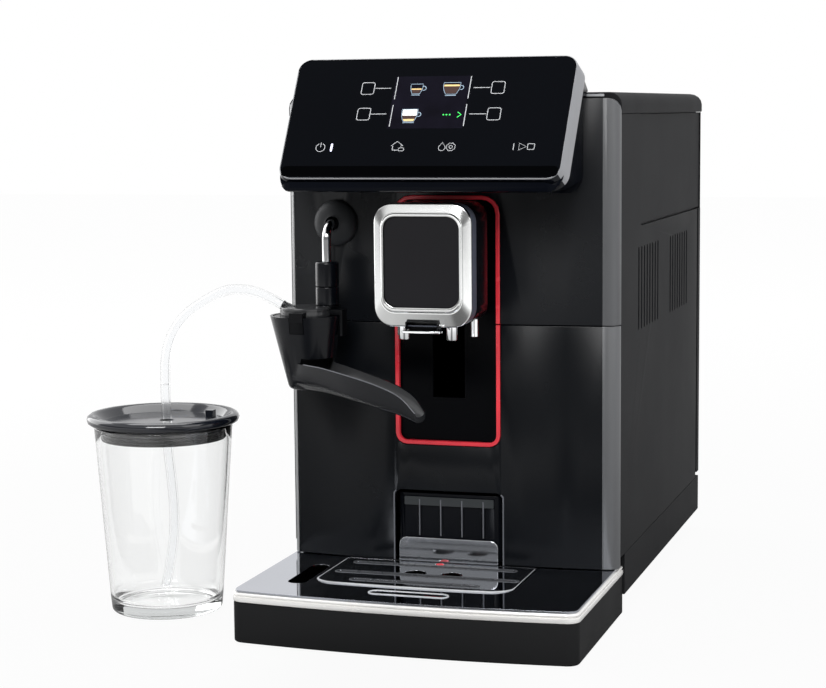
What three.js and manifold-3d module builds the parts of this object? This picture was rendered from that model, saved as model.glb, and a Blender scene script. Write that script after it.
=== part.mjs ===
// A bean to cup coffee machine with a milk frother on its steam pipe, and a lidded
// milk glass beside it that a hose reaches into. Millimetres, Z up. In the machine's
// own group X is zero at its middle, Y is zero at the drip tray's front corners and
// grows to the rear, and Z is zero at the counter.
import * as THREE from 'three';
import { mergeVertices } from 'three/addons/utils/BufferGeometryUtils.js';
import Module from 'manifold-3d';

const wasm = await Module();
wasm.setup();

// Clearances, walls and steps of round shapes
const FIT = 0.3; // gap between pieces that are seated on each other
const RUN = 0.6; // gap between pieces that slide or turn past each other
const OVER = 6; // how far a cut overruns the wall it goes through
const WALL = 3; // moulded outer walls
const THIN = 2; // light moulded walls
const CORNER_STEPS = 4;
const SMALL_RADIUS = 4.5; // corners up to this radius take half the steps
const BOW_STEPS = 8;
const ROUND = 20; // sides of a middling round
const FINE = 32; // sides of a large round
const COARSE = 12; // sides of a small round
const END_SHARE = 0.49; // radius of a slot's round ends, over its width
const TUBE_STEP_SHARE = 4.5; // length of a hose's steps, over its radius

// Housing
const HALF = 110; // half the housing's width
const FRONT = 111.1; // depth of the front cover at its corners
const BOW = 6; // how far the front cover swells forward at its middle
const CORNER = 7.5; // corner radius between the front and the sides
const BACK = 430;
const TOP = 334.8;
const TOP_RADIUS = 8;
const CROWN_DROP = 3.8;
const FRONT_TOP = TOP - CROWN_DROP; // the front covers end a little below the top
const COVER_HIGH = 13.5;
const COVER_FOOT = TOP - COVER_HIGH; // lower edge of the top cover
const FASCIA_HIGH = 141.4;
const SEAM = FRONT_TOP - FASCIA_HIGH; // height of the seam between the two front covers
const STRIP_HIGH = 72.8;
const SIDE_SEAM = COVER_FOOT - STRIP_HIGH; // seam between the side panels and the upper side strips
const STRIP_RECESS = 1.5; // the upper side strips lie this far in
const COLUMN_LONG = 62.4;
const COLUMN_BACK = FRONT + CORNER + COLUMN_LONG; // rear edge of the side panel's full height column
const SIDE_REAR = 14.7;
const SIDE_BACK = BACK - SIDE_REAR; // rear edge of the side panels
const SIDE_BEND = 6; // radius of the side panel's inner bend

// Base and feet
const BASE_REAR = 6;
const BASE_BACK = BACK - BASE_REAR;
const BASE_LOW = 14;
const BASE_TOP = 40.5;
const SIDE_LIFT = 0.5;
const SIDE_FOOT = BASE_TOP + SIDE_LIFT;
const FRONT_LAP = 2.5;
const FRONT_FOOT = BASE_TOP - FRONT_LAP; // the front cover hangs in front of the base's edge
const WELL_SIDE = 14;
const WELL_HALF = HALF - WELL_SIDE; // the base's lower well
const WELL_LOW = 6;
const WELL_BACK = BASE_BACK - BASE_REAR;
const TONGUE_FRONT = 20; // the base's tongue carries the drip tray
const FOOT_RADIUS = 11;
const FOOT_INSET = 18;
const FOOT_SIDE = WELL_HALF - FOOT_INSET;
const FOOT_AHEAD = 25;
const FOOT_FRONT = TONGUE_FRONT + FOOT_AHEAD;
const FOOT_REAR = WELL_BACK - FOOT_INSET;

// Service door on the right side
const DOOR_FRAME = 26; // width of the frame round the service opening
const BARREL = 5; // radius of the door's hinge barrel
const PIN = 2;
const PIN_DEEP = 7;
const VENTS = 8; // slots in each of two groups
const VENT_PITCH = 9.8;
const VENT_WIDE = 3.9;
const VENT_DROP = 13.5; // from the door's upper edge
const VENT_LONG = 55;
const VENT_SHARES = [0.193, 0.596]; // where the groups start along the door
const GRIP_DEEP = 1.6;
const GRIP_LONG = 46;
const GRIP_WIDE = 9;

// Drip tray
const TRAY_SIDE = 1.4;
const TRAY_HALF = HALF - TRAY_SIDE;
const TRAY_BOW = 6.4;
const TRAY_BEHIND = 20.6;
const TRAY_BACK = FRONT + TRAY_BEHIND;
const TRAY_RADIUS = 8;
const SKIRT_LOW = 1.4;
const TRIM_LOW = 27;
const TRIM_TALL = 5.6;
const TRIM_HIGH = TRIM_LOW + TRIM_TALL;
const TRIM_PROUD = 0.4;
const PLATE_RISE = 1.4;
const PLATE_TOP = TRIM_HIGH + PLATE_RISE;
const PLATE_THICK = 1.1;
const PLATE_BEHIND = 6.9;
const PLATE_BACK = FRONT + PLATE_BEHIND;
const PLATE_INSET = 1.2;
const BASIN_REAR = 5.7;
const BASIN_BACK = TRAY_BACK - BASIN_REAR;
const BASIN_WALL = 2.4;
const GRILLE_LEFT_SIDE = 39.6; // from the tray's left to the grille
const GRILLE_RIGHT_SIDE = 49.6;
const GRILLE_LEFT = GRILLE_LEFT_SIDE - TRAY_HALF;
const GRILLE_RIGHT = TRAY_HALF - GRILLE_RIGHT_SIDE;
const GRILLE_FRONT = 32;
const GRILLE_REAR = 6.7;
const GRILLE_BACK = FRONT - GRILLE_REAR;
const GRILLE_RADIUS = 15;
const OVAL_SIDE = 8;
const OVAL_X = GRILLE_LEFT - OVAL_SIDE;
const OVAL_WIDE = 12;
const OVAL_FRONT = 27.5;
const OVAL_LONG = 53.5;
const FINGER_HALF = 24;
const FINGER_Y = 18;
const FINGER_WIDE = 7;
const SLOT_WIDE = 3.6;
// Each slot of the grille: left end, right end and depth, over the grille's width and depth
const SLOT_SHARES = [[0.078, 0.906, 0.856], [0.055, 0.969, 0.483], [0.18, 0.8125, 0.214]];
const HOLE_RADIUS = 7;
const HOLE_SHARES = [[0.442, 0.576], [0.626, 0.576]];
const FLOAT_SHARES = [0.507, 0.934];
const FLOAT_RADIUS = 2.9;
const FLOAT_DISC = 11;
const FLOAT_THICK = 8;
const UPSTAND_HALF = 33;
const UPSTAND_RISE = 16;
const UPSTAND_HIGH = PLATE_TOP + UPSTAND_RISE;
const UPSTAND_RADIUS = 5;
const UPSTAND_THICK = 1.6;

// Front recess, its red line and the brew spout's guide
const RED_HALF = 34.8;
const RED_LIFT = 77; // from the tray's plate to the recess
const RED_LOW = PLATE_TOP + RED_LIFT;
const RED_DROP = 60;
const RED_HIGH = FRONT_TOP - RED_DROP;
const RED_LINE = 2.6;
const RED_TOP_RADIUS = 11.5;
const RED_LOW_RADIUS = 7.3;
const RED_PROUD = 0.5;
const GUIDE_LAP = 3.2;
const GUIDE_HALF = RED_HALF + GUIDE_LAP;
const GUIDE_THICK = 2.6;
const SLOT_HALF = 10.6;
const RAIL_WIDE = 3;
const RAIL_DEEP = 5;

// Control panel, a sloped wedge that stands out above the spout
const PANEL_SIDE = 20.6; // from the housing's side to the glass
const PANEL_REACH = 71.6; // from the front cover to the glass's lower edge
const PANEL_DROP = 47.9;
const GLASS_HALF = HALF - PANEL_SIDE;
const GLASS_FOOT = [FRONT - PANEL_REACH, FRONT_TOP - PANEL_DROP]; // depth and height of its lower edge
const GLASS_SLOPE = THREE.MathUtils.degToRad(56.8);
const GLASS_LONG = 87.3;
const GLASS_THICK = 3;
const GLASS_RADIUS = 8;
const FRAME_WIDE = 2.4;
const FRAME_LOWER = 1.3;
const FRAME_UPPER = 1.2;
const FRAME_DEEP = 5;
const SCREEN_HALF = 24.2;
const SCREEN_LOW = 36.2;
const SCREEN_TALL = 38.4;
const SCREEN_HIGH = SCREEN_LOW + SCREEN_TALL;
const NOSE_HIGH = 7.3;
const NOSE_LOW = GLASS_FOOT[1] - NOSE_HIGH;
const NOSE_RADIUS = 2.5;
const WEDGE_FALL = 3.8;
const WEDGE_REAR_LOW = NOSE_LOW - WEDGE_FALL;
const WEDGE_REAR = 3.4;
const WEDGE_BACK = FRONT + CORNER + WEDGE_REAR;
const WEDGE_RISE = 1.2;
const WEDGE_BACK_TOP = TOP + WEDGE_RISE;
const WEDGE_RADIUS = 12; // corners of the wedge seen from the front

// Window in the lower cover, and the grounds container that is seen in it
const WINDOW_HALF = 36;
const WINDOW_RISE = 47;
const WINDOW_TOP = PLATE_TOP + WINDOW_RISE;
const WINDOW_RADIUS = 4;
const BIN_SIDE = 1;
const BIN_HALF = WINDOW_HALF - BIN_SIDE;
const BIN_LIFT = 2;
const BIN_LOW = PLATE_TOP + BIN_LIFT;
const BIN_DROP = 2.4;
const BIN_HIGH = WINDOW_TOP - BIN_DROP;
const BIN_SET_BACK = 2.7;
const BIN_FRONT = FRONT - BIN_SET_BACK;
const BIN_LONG = 176.6;
const BIN_BACK = BIN_FRONT + BIN_LONG;
const BIN_RADIUS = 5;
const BAND_TALL = 5.9;
const BAND_HIGH = BIN_HIGH - THIN;
const BAND_LOW = BAND_HIGH - BAND_TALL;
const RIB_TALL = 19;
const RIB_LOW = BAND_LOW - RIB_TALL;
const RIBS = 4;
const RIB_PITCH = 14.2;
const RIB_MIDDLE = 1.6;
const RIB_WIDE = 2.4;
const RIB_PROUD = 1.2;

// Brew spout, which slides up and down the front
const SPOUT_REACH = 61.6; // from the front cover to the spout's face
const SPOUT_FRONT = FRONT - SPOUT_REACH;
const SPOUT_HIGH = RED_HIGH - RED_LINE;
const SPOUT_TALL = 75.7;
const SPOUT_LOW = SPOUT_HIGH - SPOUT_TALL;
const SPOUT_SIDE = 3.8;
const SPOUT_HALF = RED_HALF - SPOUT_SIDE;
const SPOUT_RADIUS = 12;
const BEVEL_DEEP = 2.4;
const BEVEL_SIDE = 6.8;
const BEVEL_TOP = 7.8;
const BEVEL_LOW = 12;
const FACE_RADIUS = 8;
const RING_DEEP = 5;
const SPOUT_DEEP = 47.5;
const SPOUT_BACK = SPOUT_FRONT + SPOUT_DEEP;
const PLATE_SET_BACK = 1.4;
const NECK_HALF = 10;
const NECK_LIFT = 21.3;
const NECK_LOW = SPOUT_LOW + NECK_LIFT;
const NECK_DROP = 6.4;
const NECK_HIGH = SPOUT_HIGH - NECK_DROP;
const TRAVEL_SPARE = 31;
const SPOUT_TRAVEL = NECK_LOW - RED_LOW - TRAVEL_SPARE;
const SLIDER_HALF = 17;
const SLIDER_THICK = 2.4;
const NOZZLE_RADIUS = 5;
const NOZZLE_X = 15.3;
const NOZZLE_INSET = 14.5;
const NOZZLE_Y = SPOUT_FRONT + NOZZLE_INSET;
const NOZZLE_DROP = 8.2;
const NOZZLE_LOW = SPOUT_LOW - NOZZLE_DROP;
const BORE = 1.9;
const SLIM_RADIUS = 2.3;
const SLIM_X = 24;
const SLIM_INSET = 12;
const SLIM_Y = SPOUT_BACK - SLIM_INSET;
const SLIM_DROP = 6.7;
const SLIM_LOW = SPOUT_LOW - SLIM_DROP;
const TAB_HALF = 10.4;
const TAB_FALL = 1.7; // the latch and its lip each reach this much lower
const TAB_LOW = SPOUT_LOW - TAB_FALL;
const LIP_HALF = 12.5;
const LIP_LOW = TAB_LOW - TAB_FALL;
const LIP_DEEP = 8;

// Steam pipe, its socket and the two sleeves on it
const PIPE_SIDE = 35.7;
const PIVOT_X = PIPE_SIDE - HALF;
const PIPE_DROP = 78;
const PIVOT_Z = FRONT_TOP - PIPE_DROP;
const DOME_RADIUS = 14.6;
const DOME_DEEP = 9;
const BALL = 7;
const BALL_INSET = 7.6;
const BALL_Y = FRONT - BALL_INSET;
const PIPE = 2.9; // radius
const PIPE_REACH = 15;
const PIPE_Y = BALL_Y - PIPE_REACH;
const PIPE_BEND = 10;
const SLEEVE = 7.5;
const SLEEVE_DROP = 23.5;
const SLEEVE_TOP = PIVOT_Z - SLEEVE_DROP;
const SLEEVE_UPPER = 15.9;
const SLEEVE_SEAM = SLEEVE_TOP - SLEEVE_UPPER - FIT;
const SLEEVE_LOWER = 11.7;

// Frother: a raised lid that the hose goes into, and a cup with a long open arm
const FROTH_LEFT = 11.2; // how far the frother's middle lies to the left of the pipe
const FROTH_AHEAD = 10.5;
const FROTH_X = PIVOT_X - FROTH_LEFT;
const FROTH_Y = PIPE_Y - FROTH_AHEAD;
const FROTH_TOP = SLEEVE_SEAM - SLEEVE_LOWER - FIT; // the raised disc's top
const DISC_RISE = 5.3;
const DISC_RADIUS = 16.2;
const DISC_EDGE = 1.6; // thickness of the disc's upper edge, over a groove
const FROTH_RIM = FROTH_TOP - DISC_RISE;
const FROTH_RADIUS = 22.6;
const FROTH_WALL = 1.8;
const FROTH_HIGH = 46.5;
const FROTH_LOW = FROTH_RIM - FROTH_HIGH;
const FROTH_LEAN = [3.5, -2]; // how far the foot's middle lies beside the rim's
const FROTH_LOW_RADIUS = 13.5;
const PIPE_DIP = 10;
const PIPE_LOW = FROTH_RIM - PIPE_DIP;
const NIPPLE = 2.4;
const NIPPLE_LONG = 9;
const NIPPLE_END = 15.83; // how far to the left of the lid's middle it ends
const NIPPLE_RISE = 0.57;
const NIPPLE_BEHIND = 2;
const NIPPLE_TILT = Math.atan(1 / 2);
const ARM_AHEAD = [1.5, -1]; // the arm starts beside the cup's middle
const ARM_RIGHT = 89;
const ARM_FORWARD = 48.5;
const ARM_RIM_DROP = 28; // from the cup's rim to the arm's
const ARM_RIM_FALL = 25.5;
const ARM_LIFT = 0.5; // from the cup's underside to the arm's
const ARM_FALL = 12.4;
const ARM_HALF = 15;
const ARM_TAPER = 8.8;
// Along the arm, the shares of its way right and forward, of its rim's fall, its floor's fall
// and its taper
const ARM_SHARES = [
  [0, 0, 0, 0, 0], [0.135, 0.227, 0.118, 0, 0.284], [0.292, 0.443, 0.235, 0.02, 0.511],
  [0.517, 0.701, 0.4, 0.2, 0.659], [0.742, 0.866, 0.608, 0.484, 0.727],
  [0.899, 0.948, 0.804, 0.742, 0.841], [1, 1, 1, 1, 1],
];
const ARM_BEND_SHARE = 0.55; // size of the arm's rounded lower edges, over its half width
const ARM_HIP_SHARE = 0.3; // place of the middle point on such an edge
const CUP_SHARES = [0, 0.06, 1]; // heights of the cup's cross sections
const CUP_SIDES = 19;
const TAB_WIDE = 9;
const TAB_DROP = 10;
const SIDE_TAB_DROP = 13;

// Milk glass with its lid, beside the machine
const CUP_X = -185.2;
const CUP_Y = 76.9;
const CUP_LOW_RADIUS = 36.2;
const CUP_TOP_RADIUS = 45;
const CUP_HIGH = 122.6;
const CUP_WALL = 2.2;
const CUP_FLOOR = 6.8;
const CUP_EDGE = 4;
const LID_OVERHANG = 4.7;
const LID_RADIUS = CUP_TOP_RADIUS + LID_OVERHANG;
const LID_RIM_RISE = 4;
const LID_RIM_Z = CUP_HIGH + LID_RIM_RISE;
const LID_RIM = 3.3; // radius of the rim's round
const RIM_STEPS = 7;
const RIM_START = THREE.MathUtils.degToRad(-110); // the round runs from below the rim
const RIM_SWEEP = THREE.MathUtils.degToRad(255); // over its top to the dish
const DISH_TOP = CUP_HIGH + THIN;
const DISH_THICK = 2.7;
const PLUG_DEEP = 9;
const HOSE_HOLE = 4.6;
const TAB_RIGHT = 25.7;
const TAB_BEHIND = 18.4;
const TAB_SIZE = 5.4;

// Milk hose. Its route is chosen by hand from the picture: depth and height per place
const HOSE = 3.2; // radius
const HOSE_SIDES = 8;
const HOSE_Y = 80;
const HOSE_ARCH = [
  [-101.6, 202], [-109, 205.7], [-117, 209], [-124, 210.7], [-130, 211.2], [-137, 211.1],
  [-143, 209.6], [-149.4, 206.8], [-158.5, 201.6], [-167, 195.8],
  [-174, 188.6], [-179.3, 180.2], [-182.6, 171], [-184.2, 161], [-184.5, 148.3],
];
const HOSE_FALL = [
  [-184.5, 148], [-184.3, 136], [-184.1, 122], [-183.6, 106], [-181.8, 88], [-180.4, 70],
  [-180.6, 52], [-183, 34], [-187.2, 14],
];

// Water tank, at the left rear
const CHASSIS_SET_BACK = 9.9;
const CHASSIS_FRONT = FRONT + CHASSIS_SET_BACK;
const LID_THICK = 3.5;
const LID_AXIS_Z = TOP - LID_THICK / 2;
const LID_REAR = 9.5;
const LID_BACK = BACK - LID_REAR; // rear edge of the tank and of the bean hopper's lid
const HOPPER_SHARE = 0.4708; // place of the hopper's front between the chassis and the lids' rear
const HOPPER_FRONT = CHASSIS_FRONT + (LID_BACK - CHASSIS_FRONT) * HOPPER_SHARE;
const TANK_AHEAD = 5;
const TANK_FRONT = HOPPER_FRONT - TANK_AHEAD;
const TANK_SIDE = 9.5;
const TANK_WIDE = 67;
const TANK_LEFT = TANK_SIDE - HALF;
const TANK = [TANK_LEFT, TANK_FRONT, TANK_LEFT + TANK_WIDE, LID_BACK]; // left, front, right, back
const TANK_RADIUS = 10;
const TANK_WALL_THICK = 2.5;
const TANK_ROOM = 6.5;
const TANK_WALL = TANK[2] + TANK_ROOM; // right face of the wall beside the tank
const TANK_BAY_FRONT = TANK_FRONT - TANK_AHEAD;
const TANK_SHELF = 139; // top of the shelf under the water tank
const VALVE_RADIUS = 8;
const VALVE_LONG = 12;

// Bean hopper and grinder, at the right rear
const DECK_DROP = 73.8;
const DECK = TOP - DECK_DROP; // top of the deck that carries the bean hopper
const HOPPER_ROOM = 11;
const HOPPER_LEFT = TANK_WALL + HOPPER_ROOM;
const HOPPER_SIDE = 10;
const HOPPER_RIGHT = HALF - HOPPER_SIDE;
const HOPPER = [HOPPER_LEFT, HOPPER_FRONT, HOPPER_RIGHT, LID_BACK];
const HOPPER_RADIUS = 8;
const FUNNEL_DROP = 22.8;
const FUNNEL_HIGH = TOP - FUNNEL_DROP; // where the hopper's walls start to slope
const GRIND_X = (HOPPER_LEFT + HOPPER_RIGHT) / 2;
const GRIND_Y = (HOPPER_FRONT + LID_BACK) / 2;
const GRIND_RADIUS = 36;
const THROAT = 22;
const BURR = 13;
const KNOB_SIDE = 16;
const KNOB_X = HOPPER_RIGHT - KNOB_SIDE;
const KNOB_BEHIND = 22;
const KNOB_Y = HOPPER_FRONT + KNOB_BEHIND;
const KNOB_RADIUS = 9;
const KNOB_SINK = 1;
const KNOB_SEAT = FUNNEL_HIGH - KNOB_SINK;
const KNOB_HIGH = 14;
const KNOB_RIBS = 12;

// Chassis and the brew bay behind the service door
const BOSS_SHARE = 0.62; // place of the front cover's bosses across the half width
const FLOOR_LIFT = 8.4;
const BAY_FLOOR = BIN_HIGH + FLOOR_LIFT; // top of the brew bay's floor
const BAY_AHEAD = 14;
const BAY_BACK = GRIND_Y - GRIND_RADIUS - BAY_AHEAD;
const BREW_SIDE = 13;
const BREW_WIDE = 84;
const BREW_LONG = 86;
const BREW_DROP = 21;
const BREW_SHARE = 0.568; // place of the brew group's middle along the bay
const BREW_MIDDLE = CHASSIS_FRONT + WALL + (BAY_BACK - CHASSIS_FRONT - WALL) * BREW_SHARE;
const BREW_RIGHT = HALF - BREW_SIDE;
const BREW_LEFT = BREW_RIGHT - BREW_WIDE;
const BREW_FRONT = BREW_MIDDLE - BREW_LONG / 2;
const BREW_BACK = BREW_MIDDLE + BREW_LONG / 2;
const BREW_TOP = DECK - BREW_DROP;
const BREW_PLATE = 4;
const CHAMBER = 28;
const CHAMBER_BORE = 22;
const CHAMBER_INSET = 36;
const BREW_X = BREW_LEFT + CHAMBER_INSET;
const BREW_Y = BREW_FRONT + CHAMBER_INSET;
const CHAMBER_SHARES = [0.2941, 0.6732]; // its foot and top over the bay's height below the frame's top
const [CHAMBER_LOW, CHAMBER_HIGH] = CHAMBER_SHARES.map((share) => BAY_FLOOR + (BREW_TOP - BAY_FLOOR) * share);
const SCREW_SIDE = 11;
const SCREW_X = BREW_RIGHT - SCREW_SIDE;
const SCREW_RADIUS = 3;
const GEAR_RADIUS = 11;
const GEAR_TEETH = 16;
const GEAR_THICK = 6;
const CHUTE_LEFT = 19; // the chute's opening lies about the brew chamber's middle
const CHUTE_RIGHT = 31;
const CHUTE_FRONT = 7;
const CHUTE_BACK = 31;
const CHUTE = [BREW_X - CHUTE_LEFT, BREW_Y - CHUTE_FRONT, BREW_X + CHUTE_RIGHT, BREW_Y + CHUTE_BACK];

// Rear: mains inlet and switch
const INLET_SIDE = 32;
const INLET_X = INLET_SIDE - HALF;
const INLET_Z = 66;
const INLET_WIDE = 27;
const INLET_TALL = 20;
const INLET_DEEP = 18;
const INLET_RIM = 2.5;
const SWITCH_RISE = 38;
const SWITCH_Z = INLET_Z + SWITCH_RISE;
const SWITCH_WIDE = 22;
const SWITCH_TALL = 15;
const SWITCH_DEEP = 6;
const SWITCH_FACE = 4.6;
const SWITCH_DIP = 1.4;
const SWITCH_TILT = THREE.MathUtils.degToRad(7);
const REAR_RETURN = 14;
const REAR_SLOTS = 9;
const REAR_SLOT_PITCH = 11;
const REAR_SLOT_LONG = 34;
const REAR_SLOT_LIFT = 1.5;
const REAR_SLOT_LOW = SIDE_SEAM + REAR_SLOT_LIFT;

// The whole set is centred on the origin between the glass lid's left and the machine's right
const MACHINE_X = -(CUP_X - LID_RADIUS + HALF) / 2;
const MACHINE_Y = -(BACK - TRAY_BOW - TRIM_PROUD) / 2;

function toSolid(geometry) {
  const bare = new THREE.BufferGeometry();
  bare.setAttribute('position', geometry.getAttribute('position'));
  bare.setIndex(geometry.getIndex());
  const merged = withoutSlivers(mergeVertices(bare));
  return new wasm.Manifold(new wasm.Mesh({
    numProp: 3,
    vertProperties: new Float32Array(merged.getAttribute('position').array),
    triVerts: new Uint32Array(merged.getIndex().array),
  }));
}

// Where a turned profile meets its axis, two corners of a triangle fall together
function withoutSlivers(geometry) {
  const index = geometry.getIndex().array;
  const kept = [];
  for (let i = 0; i < index.length; i += 3) {
    const [a, b, c] = [index[i], index[i + 1], index[i + 2]];
    if (a !== b && b !== c && c !== a) kept.push(a, b, c);
  }
  geometry.setIndex(kept);
  return geometry;
}

function toGeometry(solid) {
  const mesh = solid.getMesh();
  const geometry = new THREE.BufferGeometry();
  geometry.setAttribute('position', new THREE.BufferAttribute(mesh.vertProperties, 3));
  geometry.setIndex(new THREE.BufferAttribute(mesh.triVerts, 1));
  geometry.computeVertexNormals();
  return geometry;
}

function join(...solids) {
  return solids.reduce((whole, next) => whole.add(next));
}

function cut(body, ...tools) {
  return tools.reduce((rest, tool) => rest.subtract(tool), body);
}

// Extrusions: a shape in X and Y raised along Z, one in Y and Z along X, one in X and Z along Y
function slab(shape, low, high) {
  const geometry = extrude(shape, high - low);
  geometry.translate(0, 0, low);
  return toSolid(geometry);
}

function slabX(shape, left, right) {
  const geometry = extrude(shape, right - left);
  const basis = new THREE.Matrix4().makeBasis(
    new THREE.Vector3(0, 1, 0), new THREE.Vector3(0, 0, 1), new THREE.Vector3(1, 0, 0));
  geometry.applyMatrix4(basis);
  geometry.translate(left, 0, 0);
  return toSolid(geometry);
}

function slabY(shape, front, back) {
  const geometry = extrude(shape, back - front);
  const basis = new THREE.Matrix4().makeBasis(
    new THREE.Vector3(1, 0, 0), new THREE.Vector3(0, 0, 1), new THREE.Vector3(0, -1, 0));
  geometry.applyMatrix4(basis);
  geometry.translate(0, back, 0);
  return toSolid(geometry);
}

function extrude(shape, depth) {
  return new THREE.ExtrudeGeometry(shape, { depth, bevelEnabled: false });
}

// A closed outline from corner points, each with its own radius
function outline(corners) {
  const points = corners.flatMap(([x, y, radius = 0], i) => {
    const here = new THREE.Vector2(x, y);
    if (radius === 0) return [here];
    const last = corners[(i + corners.length - 1) % corners.length];
    const next = corners[(i + 1) % corners.length];
    const back = new THREE.Vector2(last[0], last[1]).sub(here).normalize();
    const ahead = new THREE.Vector2(next[0], next[1]).sub(here).normalize();
    const half = Math.acos(THREE.MathUtils.clamp(back.dot(ahead), -1, 1)) / 2;
    const inward = back.clone().add(ahead).normalize();
    const centre = here.clone().addScaledVector(inward, radius / Math.sin(half));
    const from = here.clone().addScaledVector(back, radius / Math.tan(half)).sub(centre);
    const sweep = Math.sign(ahead.cross(back)) * (Math.PI - 2 * half);
    const steps = radius > SMALL_RADIUS ? CORNER_STEPS : CORNER_STEPS / 2;
    return Array.from({ length: steps + 1 }, (_, k) => from.clone()
      .rotateAround(new THREE.Vector2(), (sweep * k) / steps).add(centre));
  });
  return new THREE.Shape(points);
}

function oblong(left, low, right, high, radius = 0) {
  return outline([[left, low, radius], [right, low, radius], [right, high, radius], [left, high, radius]]);
}

function box(left, front, low, right, back, high) {
  return slab(oblong(left, front, right, back), low, high);
}

function round(radius, sides, low, high, x = 0, y = 0) {
  const geometry = new THREE.CylinderGeometry(radius, radius, high - low, sides);
  geometry.rotateX(Math.PI / 2);
  geometry.translate(x, y, (low + high) / 2);
  return toSolid(geometry);
}

// A turned piece about Z from a profile of radius and height, first and last on the axis or closed
function turned(profile, sides) {
  const points = profile.map(([radius, height]) => new THREE.Vector2(radius, height));
  const geometry = new THREE.LatheGeometry(points, sides);
  geometry.rotateX(Math.PI / 2);
  const solid = toSolid(geometry);
  return solid.volume() < 0 ? toSolid(flipped(geometry)) : solid;
}

function flipped(geometry) {
  const index = geometry.getIndex().array;
  for (let i = 0; i < index.length; i += 3) {
    [index[i], index[i + 1]] = [index[i + 1], index[i]];
  }
  return geometry;
}

// A solid through rings of equally many points, with flat ends
function loft(rings) {
  const count = rings[0].length;
  const points = rings.flat();
  const index = [];
  for (let r = 0; r + 1 < rings.length; r += 1) {
    for (let i = 0; i < count; i += 1) {
      const a = r * count + i;
      const b = r * count + ((i + 1) % count);
      index.push(a, b, b + count, a, b + count, a + count);
    }
  }
  const last = (rings.length - 1) * count;
  for (let i = 1; i + 1 < count; i += 1) {
    index.push(0, i + 1, i, last, last + i, last + i + 1);
  }
  const geometry = new THREE.BufferGeometry().setFromPoints(points);
  geometry.setIndex(index);
  const solid = toSolid(geometry);
  return solid.volume() < 0 ? toSolid(flipped(geometry)) : solid;
}

function circleRing(x, y, z, radius, sides) {
  return Array.from({ length: sides }, (_, i) => {
    const angle = (i / sides) * 2 * Math.PI;
    return new THREE.Vector3(x + radius * Math.cos(angle), y + radius * Math.sin(angle), z);
  });
}

// Plan of a front that swells forward, with round corners to its sides
function bowedPlan(half, front, bow, back, radius) {
  const edge = (x) => front - bow * (1 - (x / half) ** 2);
  const inner = half - radius;
  const points = [];
  for (let i = 0; i <= BOW_STEPS; i += 1) {
    const x = inner * ((2 * i) / BOW_STEPS - 1);
    points.push(new THREE.Vector2(x, edge(x)));
  }
  const arc = (side, from) => {
    for (let i = 1; i <= CORNER_STEPS; i += 1) {
      const angle = from + ((i / CORNER_STEPS) * Math.PI) / 2;
      if (side < 0 && i === CORNER_STEPS) continue;
      points.push(new THREE.Vector2(
        side * inner + radius * Math.cos(angle), edge(inner) + radius + radius * Math.sin(angle)));
    }
  };
  arc(1, -Math.PI / 2);
  points.push(new THREE.Vector2(half, back), new THREE.Vector2(-half, back));
  points.push(new THREE.Vector2(-half, edge(inner) + radius));
  arc(-1, Math.PI);
  return new THREE.Shape(points);
}

function circleShape(x, y, radius, sides) {
  return new THREE.Shape(circleRing(x, y, 0, radius, sides).map((p) => new THREE.Vector2(p.x, p.y)));
}

function frontDepth(x) {
  return FRONT - BOW * (1 - (x / HALF) ** 2);
}

function tube(points, radius, sides) {
  const curve = new THREE.CatmullRomCurve3(points, false, 'centripetal');
  const section = circleShape(0, 0, radius, sides);
  const steps = Math.ceil(curve.getLength() / (radius * TUBE_STEP_SHARE));
  const geometry = new THREE.ExtrudeGeometry(section, { steps, extrudePath: curve, bevelEnabled: false });
  return toSolid(geometry);
}

const LOOKS = {
  gloss: { color: 0x15161a, roughness: 0.18, metalness: 0 },
  matt: { color: 0x3a3b3f, roughness: 0.55, metalness: 0 },
  black: { color: 0x17181a, roughness: 0.4, metalness: 0 },
  red: { color: 0xc8202c, roughness: 0.3, metalness: 0 },
  chrome: { color: 0xc4c6c9, roughness: 0.12, metalness: 1 },
  steel: { color: 0x9a9da1, roughness: 0.3, metalness: 1 },
  grey: { color: 0x8c8f94, roughness: 0.4, metalness: 0.2 },
  rubber: { color: 0x1c1c1d, roughness: 0.8, metalness: 0 },
  clear: { color: 0xdfe6ea, roughness: 0.05, metalness: 0, transparent: true, opacity: 0.35 },
  smoke: { color: 0x5a5f66, roughness: 0.1, metalness: 0, transparent: true, opacity: 0.6 },
  cream: { color: 0xcfc9bb, roughness: 0.6, metalness: 0 },
};

function piece(parent, name, solid, look, place = [0, 0, 0]) {
  const mesh = new THREE.Mesh(toGeometry(solid), new THREE.MeshStandardMaterial(LOOKS[look]));
  mesh.name = name;
  mesh.position.set(...place);
  parent.add(mesh);
  return mesh;
}

function subgroup(parent, x = 0, y = 0, z = 0) {
  const child = new THREE.Group();
  child.position.set(x, y, z);
  parent.add(child);
  return child;
}

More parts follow.
